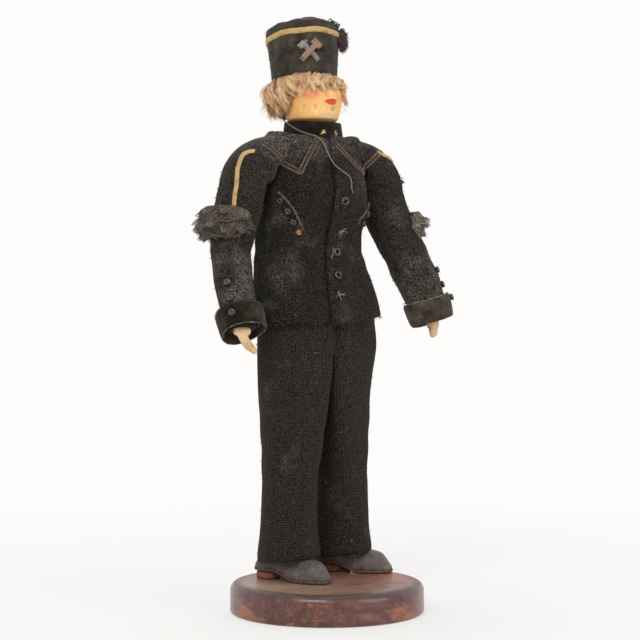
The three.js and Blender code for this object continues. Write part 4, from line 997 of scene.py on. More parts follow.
# Along the shoe from its back: the share of its length, then of its width and of its height
SHOE_STATIONS = [
    (0.0, 0.5, 0.58), (0.05, 0.74, 0.66), (0.1, 0.8, 0.68), (0.17, 0.84, 0.86), (0.303, 0.85, 0.95),
    (0.45, 0.88, 1.0), (0.58, 0.94, 0.9), (0.72, 1.0, 0.84), (0.85, 0.9, 0.73), (0.95, 0.62, 0.56),
    (1.0, 0.3, 0.3),
]


def shoe_station(share):
    for first, second in zip(SHOE_STATIONS, SHOE_STATIONS[1:]):
        if share <= second[0]:
            part = (share - first[0]) / (second[0] - first[0])
            return lerp(first[1], second[1], part), lerp(first[2], second[2], part)
    return SHOE_STATIONS[-1][1:]


def sole_height(share):
    return lerp(HEEL_HEIGHT, 0.0, smooth((share - HEEL_SHARE) / (BALL_SHARE - HEEL_SHARE))) + 0.3


def on_foot(side, x, share, z):
    ankle_x, ankle_y, turn = FEET[side]
    place = turned(turn, "Z") @ Vector((x, HEEL_SETBACK - share * FOOT_LENGTH, z))
    return spot(ankle_x + place.x, ankle_y + place.y, place.z)


def fuller(value, power):
    """A share of a circle's way, made fuller towards its corners."""
    return math.copysign(abs(value) ** power, value)


def add_shoe(side):
    def upper(across, along):
        share = smooth(along) * 0.35 + along * 0.65
        width, top = shoe_station(share)
        floor = sole_height(share) + SOLE_THICKNESS
        half = FOOT_WIDTH * width / 2
        if along in (0.0, 1.0):
            half *= 0.4
        crown = TOE_HEIGHT + (INSTEP_HEIGHT - TOE_HEIGHT) * top * (1 - 0.62 * smooth((share - 0.86) / 0.14))
        way = circle(TURN * across)
        z = floor + max(crown - floor, 1.0) * (max(way.y, 0.0) ** 0.85)
        return on_foot(side, half * fuller(way.x, 0.8), share, z)

    bm = sealed(laid_grid(28, 26, upper, 0.03, 0.036, closed=True))
    make(f"{side}_shoe", bm, SHOE, STANDING, [f"{side}_shoe_upper"], levels=1)

    def sole(across, along):
        half = FOOT_WIDTH * shoe_station(along)[0] / 2 + 0.1
        x, layer = row_of([(-1, 0), (-1, 1), (1, 1), (1, 0), (-1, 0)], across)
        z = sole_height(along) + (SOLE_THICKNESS - 0.05) * layer
        return on_foot(side, x * half, along * 0.992 + 0.006, z)

    bm = sealed(laid_grid(4, 22, sole, 0.02, 0.036, closed=True))
    sharp = [edge for edge in bm.edges if len(edge.link_faces) == 2 and edge.calc_face_angle() > 0.8]
    bmesh.ops.bevel(bm, geom=sharp, offset=0.0003, affect="EDGES", segments=2, profile=0.5, material=-1)
    make(f"{side}_sole", bm, SOLE, STANDING, [f"{side}_shoe_sole"])

    def heel(across, along):
        rise = row_of((0.0, 0.0, 0.12, 0.9, 1.0, 1.0), along)
        shrink = row_of((0.02, 0.93, 1.0, 0.97, 0.94, 0.02), along)
        way = circle(TURN * across)
        back = 0.5 + 0.5 * fuller(way.y, 0.75) * shrink
        share = lerp(HEEL_FRONT[side], 0.014, back)
        return on_foot(side, 4.8 * fuller(way.x, 0.7) * shrink, share, lerp(0.02, HEEL_HEIGHT, rise))

    bm = laid_grid(28, 5, heel, 0.03, 0.004, closed=True)
    bmesh.ops.recalc_face_normals(bm, faces=bm.faces[:])
    make(f"{side}_heel", bm, RAW_WOOD, STANDING, [f"{side}_shoe_heel"], levels=1)


TROUSER_ROWS = 40
LEG_LOW = 12.8
LEG_LEAN = {"right": 0.5, "left": -1.6}
HEM_RISE = {"right": 2.5, "left": 2.2}
HEM_SAG = {"right": 0.9, "left": 1.6}
TOP_TUCK = 3.0
CROTCH_HEIGHT = 60
SEAM_OVERLAP = 0.0004
GUSSET_LOW = 76.0
GUSSET_HALF = 5.0


def trouser_fold(turn, z, side):
    """Creases of an old wool leg: soft lumps, a few long folds and a wavy hem."""
    angle = TURN * turn
    lump = noise.noise(circle(angle, 1.3, z * 0.045 + 7 * side))
    knee = hump(z, 55, 16) * math.sin(z * 0.42 + 2.5 * math.sin(angle))
    hem = smooth((26 - z) / 20) * math.sin(angle * 4 + side)
    hip = (1.3 * hump(z, 97, 8) - 0.7 * hump(z, 74, 10)) * max(0.0, math.cos(angle)) * max(0, side)
    return (0.45 * lump + 0.22 * knee + 0.3 * hem + hip) * MM


def add_trouser_leg(side):
    way = ARMS[side]["side"]
    ankle_x, ankle_y, foot_turn = FEET[side]
    core = spot(way * 15, 2, 60)
    shares = [row / TROUSER_ROWS for row in range(TROUSER_ROWS + 1)]
    heights = [lerp(TROUSER_HEM, TROUSER_TOP, share ** 0.92) for share in shares]
    stations = []
    for height in heights:
        z = max(height, LEG_LOW)
        share = (z - TROUSER_HEM) / (TROUSER_TOP - TROUSER_HEM)
        centre = spot(lerp(ankle_x, way * 13.2, share), lerp(ankle_y, 0.6, share), min(z, TROUSER_TOP - 0.3))
        stations.append((centre, ASIDE, -FORWARD))
    wrap = Wrap([f"{side}_trouser_leg"], stations, 64)
    toe = turned(foot_turn, "Z").to_3x3() @ FORWARD

    def place(across, along):
        row = round(along * TROUSER_ROWS)
        z = heights[row]
        point = wrap.on(across, row, trouser_fold(across, z, way))
        middle = stations[row][0]
        ahead = (point - middle).normalized().dot(toe)
        wave = 0.35 * math.sin(TURN * across * 3 + way)
        rise = HEM_RISE[side] * smooth(0.5 + 0.5 * ahead) - HEM_SAG[side] + wave
        rise *= 1 - smooth((z - TROUSER_HEM) / 9)
        point.z = (FIGURE.z + z + rise + (TOP_TUCK if row == TROUSER_ROWS else 0)) * MM
        point += level(point - middle) * 0.4 * smooth((22 - z) / 14) * MM
        point.x += LEG_LEAN[side] * smooth((95 - z) / 50) * MM
        if z > CROTCH_HEIGHT:
            seam = FIGURE.x * MM - way * SEAM_OVERLAP
            point.x = max(point.x, seam) if way > 0 else min(point.x, seam)
        return point

    bm = laid_grid(64, TROUSER_ROWS, place, 0.075, 0.1, closed=True)
    make(f"{side}_trouser", bm, TROUSER_WOOL, STANDING, [f"{side}_trouser_leg"],
         wall=WOOL_WALL, levels=1, inside=core)
    chance = random.Random(31 + way)
    fray = []
    for _ in range(70):
        root = place(chance.random(), 0.0)
        down = level(root - stations[0][0]) * 0.3 - UP
        fray.append(grown(root, down, chance.uniform(0.5, 1.6) * MM, chance, steps=3))
    for _ in range(420):
        root = place(chance.random(), chance.random() ** 1.1 * 0.96)
        out = level(root - core) + any_way(chance) * 0.9
        fray.append(grown(root, out, chance.uniform(0.5, 1.5) * MM, chance, 0.2, 0.6, 3))
    strands(f"{side}_trouser_fuzz", fray, FUZZ, WOOL_THREAD, STANDING, seed=5)


def add_gusset():
    """The cloth that joins the two legs, in front and behind."""
    tree = solid_tree("right_trouser_leg", "left_trouser_leg")
    strips = []
    for way in (FORWARD, -FORWARD):
        def place(across, along):
            x = lerp(-GUSSET_HALF, GUSSET_HALF, across)
            z = lerp(GUSSET_LOW, TROUSER_TOP - 1, along)
            sink = lerp(9.0, 2.6, smooth((z - GUSSET_LOW) / 15))
            edges = []
            for side in (-6.0, 6.0):
                hit = tree.ray_cast(spot(side, 0, z) + way * 0.08, -way, 0.16)[0]
                edges.append(hit.y if hit is not None else 0.0)
            bulge = 0.3 - sink * hump(x, 0, lerp(2.8, 2.2, along))
            point = spot(x, 0, z)
            point.y = lerp(edges[0], edges[1], across) + way.y * bulge * MM
            return point

        bm = laid_grid(20, 20, place, 0.01, 0.032)
        face_out(bm, spot(0, 0, 100))
        strips.append(bm)
    make("trouser_gusset", joined(strips), TROUSER_WOOL, STANDING, wall=0.8)


add_base()
for foot_side in FEET:
    add_shoe(foot_side)
    add_trouser_leg(foot_side)
add_gusset()


# Jacket, collar and what is sewn on the chest

JACKET_NODES = ["jacket_back", "jacket_right_front", "jacket_left_front"]
JACKET_TREE = solid_tree(*JACKET_NODES)
JACKET_ROWS = 44
JACKET_GIRTH = 0.16
CHEST_MIDDLE = spot(0, NECK_BACK, 145)
YOKE_HEIGHT = SHOULDER_EDGE - 1.0
JACKET_LEVELS = [lerp(JACKET_HEM + 0.4, YOKE_HEIGHT, row / 34) for row in range(35)]
JACKET_LEVELS += [lerp(YOKE_HEIGHT, NECK_HEIGHT - 0.25, (row + 1) / 10) for row in range(10)]
JACKET = Wrap(JACKET_NODES, [(spot(0, NECK_BACK, z), ASIDE, -FORWARD) for z in JACKET_LEVELS], 128, passes=1)
OUTER_CLOTH = []
SIDE_SEAM_LEFT = 0.04
SIDE_SEAM_RIGHT = 0.46
SEAM_LAP = 0.004
LAP = 1.9
UNDERLAP = 4.0
HEM_LIFT = 3.4


def closure_x(z):
    return lerp(CLOSURE_HEM_X, CLOSURE_NECK_X, (z - JACKET_HEM) / (NECK_HEIGHT - JACKET_HEM))


def jacket_fold(turn, z):
    """Soft dents all over, a wavy hem and a few creases at the waist."""
    angle = TURN * turn
    around = circle(angle, 2.2, z * 0.06)
    dents = noise.noise(around) * 0.6 + noise.noise(around * 2.7) * 0.25
    dents *= lerp(1.0, 0.35, smooth((z - 165) / 12))
    hem = smooth((124 - z) / 18) * math.sin(angle * 6 + 0.7) * 0.6
    waist = hump(z, 139, 10) * math.sin(z * 0.75 + 9 * math.sin(angle)) * 0.35
    side = 1.7 * hump(z, 140, 22) * smooth((0.25 - abs(turn - 0.5)) / 0.12)
    side += 0.8 * smooth((119 - z) / 13)
    side -= 1.2 * hump(z, 142, 12) * smooth((math.cos(angle) - 0.5) / 0.4)
    return (dents + hem + waist + side) * MM * smooth((NECK_HEIGHT + 2 - z) / 14)


def from_middle(point):
    """Millimetres to either side of the figure's middle."""
    return abs(point.x / MM - FIGURE.x)


def front_turn(x, row):
    """The turn at which the jacket's front has this x."""
    share = max(-0.9, min(0.9, x * MM / JACKET.reach(0.75, row)))
    return 0.75 + math.asin(share) / TURN


def closing_edge(beyond):
    """An edge of a front panel: so many millimetres beyond the closure."""
    return lambda row: front_turn(closure_x(JACKET_LEVELS[row]) + beyond, row)


def add_jacket_panel(name, node, finish, columns, first, last, lift):
    """One panel between two edges, each a turn for a row; the lift is in millimetres."""

    def place(across, along):
        row = round(along * JACKET_ROWS)
        z = JACKET_LEVELS[row]
        turn = lerp(first(row), last(row), across)
        angle = TURN * turn
        point = JACKET.on(turn, row, jacket_fold(turn, z) + lift(across) * MM)
        point.z += 0.5 * MM * math.sin(angle * 3 + 1) * smooth((112 - z) / 6)
        lifted = smooth((math.cos(angle) - 0.05) / 0.9) * (1 - smooth((z - JACKET_HEM) / 32))
        point.z += HEM_LIFT * MM * lifted
        # The cloth lies straight from the collar to the sleeve heads, with no dip between them
        point.z += 3.1 * MM * smooth((from_middle(point) - 12) / 9) * smooth((z - 166) / 13)
        pull = 2.0 * MM * smooth((from_middle(point) - 14) / 8) * smooth((z - 150) / 14)
        point.y += pull if point.y < CHEST_MIDDLE.y else -pull
        return point

    girth = abs(last(10) - first(10)) * JACKET_GIRTH
    bm = laid_grid(columns, JACKET_ROWS, place, girth, 0.082)
    OUTER_CLOTH.append(make(name, bm, finish, STANDING, [node], wall=WOOL_WALL, levels=1,
                            inside=CHEST_MIDDLE))
    return place


def add_jacket():
    back = add_jacket_panel("jacket_back_cloth", "jacket_back", WOOL, 56, lambda row: SIDE_SEAM_LEFT,
                            lambda row: SIDE_SEAM_RIGHT, lambda across: 0.0)
    right = add_jacket_panel("jacket_right_cloth", "jacket_right_front", DUSTY_WOOL, 40,
                             lambda row: SIDE_SEAM_RIGHT - SEAM_LAP, closing_edge(UNDERLAP),
                             lambda across: -0.25 * smooth((across - 0.8) / 0.2))
    left = add_jacket_panel("jacket_left_cloth", "jacket_left_front", WOOL, 40, closing_edge(0.0),
                            lambda row: 1 + SIDE_SEAM_LEFT + SEAM_LAP,
                            lambda across: LAP * smooth((0.4 - across) / 0.3))
    chance = random.Random(41)
    fuzz = []
    for place, count in ((back, 700), (right, 750), (left, 600)):
        for _ in range(count):
            root = place(chance.random(), chance.random())
            fuzz.append(fuzz_hair(root, level(root - CHEST_MIDDLE), 2.0, chance))
        for _ in range(90):
            root = place(chance.random(), 0.0)
            down = any_way(chance) * 0.4 - UP
            fuzz.append(grown(root, down, chance.uniform(0.4, 1.5) * MM, chance, 0.2, 0.5, 3))
    strands("jacket_fuzz", fuzz, FUZZ, WOOL_THREAD, STANDING, seed=6)


def on_front(x, drop, lift):
    """A place on the front of the finished cloth, and which way the cloth faces there."""
    z = NECK_HEIGHT - drop
    places = []
    for aside, above in ((0.0, 0.0), (0.8, 0.0), (0.0, 0.8)):
        hit = FRONT_TREE.ray_cast(spot(x + aside, -70.0, z + above), -FORWARD, 0.12)[0]
        places.append(hit if hit is not None else spot(x + aside, -9.0, z + above))
    normal = (places[1] - places[0]).cross(places[2] - places[0]).normalized()
    if normal.dot(FORWARD) < 0:
        normal = -normal
    return places[0] + normal * lift * MM, normal


def straight_line(points, way, steps, lift, shift=0.0):
    """A cornered line over one side of the front, moved across itself by a shift."""
    path = []
    normals = []
    points = [(way * x, drop) for x, drop in points]
    for (x0, d0), (x1, d1) in zip(points, points[1:]):
        length = math.hypot(x1 - x0, d1 - d0)
        nx, nd = -(d1 - d0) / length * shift, (x1 - x0) / length * shift
        for step in range(steps):
            share = step / (steps - 1)
            place, normal = on_front(lerp(x0, x1, share) + nx, lerp(d0, d1, share) + nd, lift)
            path.append(place)
            normals.append(normal)
    return path, normals


# From the middle of the chest outwards, and down from the neck
YOKE = {"right": [(5.5, 2.4), (15.5, 17.0), (23.5, 10.2), (29.0, 5.4)],
        "left": [(2.2, 4.2), (17.0, 15.8), (23.5, 9.4), (29.0, 5.0)]}
CHEST_BRAID = {"right": [(22.4, 25.0), (15.2, 39.0)], "left": [(22.8, 27.0), (13.8, 35.2)]}
PLY_TURN = 0.9


def add_braids():
    for side, arm in ARMS.items():
        way = arm["side"]
        rows = []
        for shift in (-0.7, 0.7):
            path, normals = straight_line(YOKE[side], way, 22, 0.25, shift)
            rows.append(tube_along(path, 0.46, 8, 0.6, normals))
        make(f"{side}_yoke_braid_cloth", joined(rows), BROWN_BRAID, STANDING,
             [f"{side}_yoke_braid"])
        path, normals = straight_line(CHEST_BRAID[side], way, 24, 0.35)
        plies = []
        for phase in (0, math.pi):
            ply = []
            for step, (place, normal) in enumerate(zip(path, normals)):
                tangent = (path[min(step + 1, len(path) - 1)] - path[max(step - 1, 0)]).normalized()
                ply.append(place + swung(tangent.cross(normal), normal, step * PLY_TURN + phase) * 0.27 * MM)
            plies.append(tube_along(ply, 0.31, 7, 1.0, normals))
        make(f"{side}_chest_cord", joined(plies), RUSSET_CORD, STANDING,
             [f"{side}_chest_braid"])
        chance = random.Random(51 + way)
        fray = []
        for _ in range(16):
            heading = (path[-1] - path[-4]).normalized() + any_way(chance) * 0.8
            fray.append(grown(path[-1], heading, chance.uniform(1.0, 3.2) * MM, chance, 0.4, 0.5))
        for _ in range(120):
            line = straight_line(YOKE[side], way, 30, 0.4, chance.uniform(-1, 1))[0]
            root = line[chance.randrange(len(line))]
            heading = any_way(chance) + FORWARD * 0.5
            fray.append(grown(root, heading, chance.uniform(0.5, 1.4) * MM, chance, 0.3, 0.6))
        strands(f"{side}_braid_fray", fray, 0.00016, BROWN_THREAD, STANDING, seed=9)


def glass_ring(name, node, diameter, rim, finish, tree, body, under):
    """A ring of glass that lies where its solid is, flat on the cloth."""
    low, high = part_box(node)
    middle = (low + high) / 2
    normal = (middle - under.find_nearest(middle)[0]).normalized()
    hit = tree.ray_cast(middle + normal * 0.01, -normal, 0.02)[0]
    if hit is not None:
        middle = hit + normal * (rim / 2 - 0.1) * MM
    bm = bmesh.new()
    bmesh.ops.create_circle(bm, segments=10, radius=rim / 2 * MM)
    bm.transform(Matrix.Translation(((diameter - rim) / 2 * MM, 0, 0)) @ turned(90, "X"))
    spun(bm, 22)
    bm.transform(Matrix.Translation(middle) @ UP.rotation_difference(normal).to_matrix().to_4x4())
    make(name, bm, finish, body, [node])


# The chest beads of each side: diameter, rim and glass
BEAD = (3.1, 1.5, GLASS)
CHEST_BEADS = {"right": [BEAD, BEAD, BEAD, (2.4, 1.15, GOLD_GLASS)], "left": [BEAD, BEAD, BEAD]}

# Bare threads where a button is lost or loose: place, drop from the neck and count
BUTTON_THREADS = ((4.0, 40.6, 34), (0.4, 67.0, 14), (2.2, 29.0, 8), (0.0, 50.0, 8))


def add_chest_beads():
    for side, beads in CHEST_BEADS.items():
        for number, bead in enumerate(beads, 1):
            glass_ring(f"{side}_chest_glass_{number}", f"{side}_chest_bead_{number}", *bead, FRONT_TREE,
                       STANDING, JACKET_TREE)
    for number in (1, 2, 3):
        glass_ring(f"front_ring_{number}", f"front_button_{number}", 3.9, 1.3, GLASS, FRONT_TREE,
                   STANDING, JACKET_TREE)
    chance = random.Random(61)
    threads = []
    for x, drop, count in BUTTON_THREADS:
        root, normal = on_front(x, drop, 0.1)
        for _ in range(count):
            way = any_way(chance)
            way = way - normal * way.dot(normal) + normal * 0.35
            threads.append(grown(root, way, chance.uniform(1.0, 3.2) * MM, chance, 0.3, 0.5))
    strands("lost_button_threads", threads, 0.00024, PALE_THREAD, STANDING, seed=8)


COLLAR_LOW = 184.9
COLLAR_TOP = 190.9
COLLAR_PROFILE = [(11.2, 188.0), (11.2, 190.2), (11.6, COLLAR_TOP), (12.1, 190.6), (12.2, 189.0),
                  (12.5, 187.0), (12.75, 185.6), (12.6, COLLAR_LOW), (12.2, COLLAR_LOW - 1.8)]


def add_collar():
    def place(across, along):
        radius, z = row_of(COLLAR_PROFILE, along)
        angle = TURN * across
        radius += 0.35 * noise.noise(circle(angle, 2, z * 0.1))
        dip = -0.5 * hump(math.cos(angle - 1.5 * math.pi), 1.0, 0.5)
        return spot(0, NECK_BACK, 0) + circle(angle, radius, z + dip) * MM

    bm = laid_grid(72, len(COLLAR_PROFILE) - 1, place, 0.075, 0.012, closed=True)
    make("collar_velvet", bm, DARK_VELVET, STANDING, ["collar"], levels=1,
         inside=spot(0, NECK_BACK, 188))
    chance = random.Random(71)
    stitches = []
    for angle in (-103, -73):
        out = circle(math.radians(angle))
        for _ in range(11):
            root = spot(0, NECK_BACK, chance.uniform(184.6, 186.6)) + out * 12.9 * MM
            way = UP.cross(out) * chance.choice((-1, 1)) + any_way(chance) * 0.5 + out * 0.2
            stitches.append(grown(root, way, chance.uniform(0.6, 1.5) * MM, chance, 0.1, 0.4, 3))
    strands("collar_stitches", stitches, 0.0004, STITCH_THREAD, STANDING, seed=4, tip=0.8)


add_jacket()
add_collar()


# Arms

SHOULDER_STEPS = 9
ARM_STEPS = 24


def arm_body(side):
    return f"{side}_arm_and_sleeve"


def square_to(along, way):
    """Outwards and ahead, both square to a line along the arm."""
    out = Vector((way, 0, 0))
    out = (out - along * out.dot(along)).normalized()
    ahead = along.cross(out)
    return out, -ahead if ahead.dot(FORWARD) < 0 else ahead


def arm_stations(side):
    """Rings from the armhole over the shoulder and down to the wrist."""
    arm = ARMS[side]
    way = arm["side"]
    pivot = spot(way * ARMHOLE_X, SHOULDER_BACK, ARMPIT_HEIGHT)
    stations = []
    for step in range(SHOULDER_STEPS + 1):
        tilt = math.radians(lerp(2.0, 89.0, step / SHOULDER_STEPS))
        reach = lerp(CAP_REACH, ARM_REACH, step / SHOULDER_STEPS)
        out = Vector((way * math.sin(tilt), 0, math.cos(tilt)))
        middle = ARMPIT_RADIUS + (reach - ARMPIT_RADIUS) / 2
        stations.append((pivot + out * middle * MM, out, FORWARD))
    line = bent([stations[-1][0], spot(*arm["elbow"]), spot(*arm["wrist"])], ARM_STEPS)
    for step in range(2, ARM_STEPS + 1):
        place = line[step] if step < ARM_STEPS else line[-2].lerp(line[-1], 0.8)
        tangent = (line[min(step + 1, ARM_STEPS)] - line[step - 1]).normalized()
        stations.append((place, *square_to(tangent, way)))
    return stations


def sleeve_fold(turn, row, side):
    """Gathers over the shoulder, crosswise creases at the elbow and soft dents."""
    angle = TURN * turn
    dents = noise.noise(circle(angle, 1.6, row * 0.17 + 5 * side)) * 0.6
    elbow = hump(row, 20, 4.5) * math.sin(row * 1.25 + 2.2 * math.cos(angle)) * 0.4
    gather = hump(row, 6, 5) * math.sin(angle * 7 + side) * 0.28
    gather += 0.8 * hump(row, 1, 4) * abs(math.sin(angle))
    inner = 1.4 * hump(row, 16, 7) * max(0.0, -math.cos(angle))
    slope = (0.6 if side > 0 else 1.9) * hump(row, 5, 4.5) * max(0.0, math.cos(angle))
    full = (1.5 if side > 0 else 0.0) * hump(row, 26, 3.5) * (0.75 + 0.25 * math.cos(angle))
    return (dents + elbow + gather + inner + full - slope) * MM


def sleeve_root(across, way, edge, jacket):
    """Where the sleeve's head is sewn on: above it lies on the jacket, below it goes into the armhole."""
    up, ahead = math.cos(TURN * across), math.sin(TURN * across)
    low = edge + Vector((-way * 1.4 * MM, 0, 0))
    out = Vector((0, -ahead, max(up, -0.15))).normalized()
    hub = spot(way * lerp(22.4, 15.5, smooth((up + 0.7) / 1.7)), SHOULDER_BACK, 172.0)
    hit = outermost(jacket, hub, out)
    if hit is None:
        return low
    return low.lerp(hit - out * 0.15 * MM, smooth((up + 0.9) / 0.8))


def bend_at_shoulder(piece, side):
    """Bakes the piece's place into its mesh; it is neither bent nor tied to the arm."""
    arm_body(side)
    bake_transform(piece)


def add_sleeve(side):
    way = ARMS[side]["side"]
    jacket = cloth_tree(*OUTER_CLOTH[:3])
    stations = arm_stations(side)
    wrap = Wrap([f"{side}_sleeve"], stations, 56, passes=3)
    rows = len(stations)

    def place(across, along):
        row = round(along * rows)
        if row == 0:
            return sleeve_root(across, way, wrap.on(across, 0, -0.3 * MM), jacket)
        return wrap.on(across, row - 1, sleeve_fold(across, row - 1, way))

    bm = laid_grid(56, rows, place, 0.062, 0.1, closed=True)
    cloth = make(f"{side}_sleeve_cloth", bm, SLEEVE_WOOL[side], None, [f"{side}_sleeve"],
                 wall=WOOL_WALL, levels=1, inside=stations[10][0])
    OUTER_CLOTH.append(cloth)
    bend_at_shoulder(cloth, side)
    chance = random.Random(81 + way)
    fuzz = []
    for _ in range(800):
        row, turn = chance.randint(6, rows - 3), chance.random()
        root = wrap.on(turn, row, sleeve_fold(turn, row, way))
        fuzz.append(fuzz_hair(root, (root - stations[row][0]).normalized(), 2.2, chance))
    strands(f"{side}_sleeve_fuzz", fuzz, FUZZ, WOOL_THREAD, arm_body(side), seed=7)
    return cloth


# The stripe's way over the sleeve head: degrees forward from outwards, and down from upright
STRIPE_WAY = {
    "right": [(80, 55), (64, 53), (50, 57), (43, 65), (40, 74), (38, 83), (37, 92), (36, 100)],
    "left": [(116, 52), (92, 52), (66, 54), (42, 58), (24, 66), (12, 76), (5, 88), (2, 100)],
}
STRIPE_STEPS = 60


def add_stripe(side, cloth):
    """A yellow braid from the front of the armhole, over the sleeve head and down the sleeve."""
    way = ARMS[side]["side"]
    hub = spot(way * (ARMHOLE_X + 8.2), SHOULDER_BACK, 170.5)
    tree = cloth_tree(cloth)
    path = []
    normals = []
    for turn, tilt in STRIPE_WAY[side]:
        ring = circle(math.radians(turn), math.sin(math.radians(tilt)))
        out = Vector((way * ring.x, -ring.y, math.cos(math.radians(tilt))))
        path.append(outermost(tree, hub, out))
        normals.append(out)
    last, out = path[-1].copy(), level(normals[-1])
    for step in range(1, 9):
        z = lerp(last.z, spot(0, 0, FUR_HEIGHT + 5).z, step / 8)
        path.append(tree.find_nearest(Vector((last.x, last.y, z)) + out * 0.004)[0])
        normals.append(out)
    normals = [normal.normalized() for normal in bent(normals, STRIPE_STEPS)]
    path = [place + normal * 0.25 * MM for place, normal in zip(bent(path, STRIPE_STEPS), normals)]
    bm = tube_along(path, STRIPE_WIDTH / 2, 12, 0.4, normals)
    piece = make(f"{side}_stripe_braid", bm, GOLD_BRAID, None, [f"{side}_shoulder_stripe"])
    bend_at_shoulder(piece, side)


def arm_end(side):
    """The wrist and three directions there: down the arm, outwards and ahead."""
    arm = ARMS[side]
    wrist = spot(*arm["wrist"])
    down = (wrist - spot(*arm["elbow"])).normalized()
    return wrist, down, *square_to(down, arm["side"])


CUFF_TOP = 7.9
CUFF_PROFILE = [(7.9, 3.0), (8.1, -0.6), (8.7, -1.7), (9.5, -1.6), (9.9, -0.4), (10.05, 2.2), (10.2, 4.8),
                (10.3, 6.8), (10.1, CUFF_TOP), (9.3, CUFF_TOP - 0.1), (8.6, 6.6), (8.2, 4.4)]
CUFF_TILT = {"right": 12.0, "left": -8.0}
CUFF_PIVOT = 4.0

# The velvet of each cuff, the thread round its mouth and the thread along its upper edge
CUFF_LOOKS = {"right": (VELVET, FUR, WOOL_THREAD), "left": (WORN_VELVET, WOOL_THREAD, PALE_THREAD)}


def add_cuff(side):
    wrist, down, out, ahead = arm_end(side)
    tilt = Matrix.Rotation(math.radians(CUFF_TILT[side] * ARMS[side]["side"]), 3, out)
    if ((tilt @ down).dot(FORWARD) < down.dot(FORWARD)) == (CUFF_TILT[side] > 0):
        tilt.transpose()
    middle = wrist - down * CUFF_PIVOT * MM
    down, ahead = tilt @ down, tilt @ ahead
    wrist = middle + down * CUFF_PIVOT * MM
    velvet, mouth_thread, edge_thread = CUFF_LOOKS[side]

    def round_wrist(angle, radius, rise):
        wave = 0.5 * math.sin(angle * 2 + 1)
        return wrist + (swung(out, ahead, angle) * radius - down * (rise + wave)) * MM

    def place(across, along):
        radius, rise = row_of(CUFF_PROFILE, along)
        angle = TURN * across
        return round_wrist(angle, radius + 0.4 * noise.noise(circle(angle, 1.7, rise * 0.1)), rise)

    bm = laid_grid(56, len(CUFF_PROFILE) - 1, place, 0.06, 0.03, closed=True)
    cuff = make(f"{side}_cuff_velvet", bm, velvet, arm_body(side), [f"{side}_cuff"], levels=1,
                inside=wrist - down * 0.004)
    chance = random.Random(91)
    edge = []
    hem = []
    for step in range(70):
        angle = TURN * step / 70
        way = swung(ahead, -out, angle)
        stray = way + any_way(chance) * 0.15
        root = round_wrist(angle, 9.9, CUFF_TOP + 0.1)
        edge.append(grown(root, stray, chance.uniform(0.8, 1.6) * MM, chance, 0.0, 0.2, 3))
        stray = way + any_way(chance) * 0.08
        root = round_wrist(angle, 9.1, -1.75)
        hem.append(grown(root, stray, 1.2 * MM, chance, 0.0, 0.05, 3))
    strands(f"{side}_cuff_hem", hem, 0.0003, mouth_thread, arm_body(side), seed=2, tip=0.9)
    strands(f"{side}_cuff_thread", edge, 0.0002, edge_thread, arm_body(side), seed=3, tip=0.8)
    return cuff


FINGER_STEPS = 12
HAND_GRAIN = 0.0003

# The right hand from the wrist: two knuckles, then the root, the bend and the tip of the fingers
RIGHT_HAND = [(-3.0, -1.4, -0.5), (-0.3, -3.7, -0.7), (-1.4, -2.1, -2.4), (0.5, -3.6, -6.3),
              (1.9, -6.2, -8.6)]


def finger(bm, start, end, first, last):
    """Small balls along a finger, to be joined under one skin."""
    for step in range(FINGER_STEPS + 1):
        share = step / FINGER_STEPS
        bmesh.ops.create_icosphere(bm, subdivisions=2, radius=lerp(first, last, share) * MM,
                                   matrix=Matrix.Translation(start.lerp(end, share)))


def add_hand(side):
    wrist, down, _, ahead = arm_end(side)
    tip = spot(*ARMS[side]["tip"])
    root = wrist - down * 2.5 * MM
    bm = bmesh.new()
    if side == "right":
        spots = [wrist + Vector(place) * MM for place in RIGHT_HAND]
        finger(bm, root, spots[0].lerp(spots[1], 0.5), 1.7, 1.9)
        finger(bm, spots[0], spots[1], 2.1, 1.9)
        finger(bm, spots[2], spots[3], 1.9, 2.0)
        finger(bm, spots[3], spots[4], 2.0, 1.3)
    else:
        palm = wrist.lerp(tip, 0.32)
        across = (tip - wrist).normalized().cross(ahead).normalized() * MM
        finger(bm, root, palm, 2.6, 2.9)
        for shift, reach in ((-0.7, 0.8), (0.6, 0.88)):
            finger(bm, palm + across * shift, wrist.lerp(tip, reach) + across * shift * 0.9, 1.8, 1.25)
    name = f"{side}_hand_paint"
    hand = put(name, mesh_from(name, bm), HAND)
    skin = hand.modifiers.new("skin", "REMESH")
    skin.mode = "VOXEL"
    skin.voxel_size = HAND_GRAIN
    hand.modifiers.new("ease", "SMOOTH").iterations = 4
    bake(hand)
    tie(hand, arm_body(side), [f"{side}_hand"])


# Each roll's front end in degrees, its size, how far it is raised and how much its hair comes to a point
FUR_ROLLS = {"right": {"start": -80, "size": 1.0, "rise": 0.0, "point": 0.6, "finish": FUR},
             "left": {"start": -56, "size": 0.8, "rise": 2.8, "point": 0.2, "finish": PALE_FUR}}
FUR_END = 80


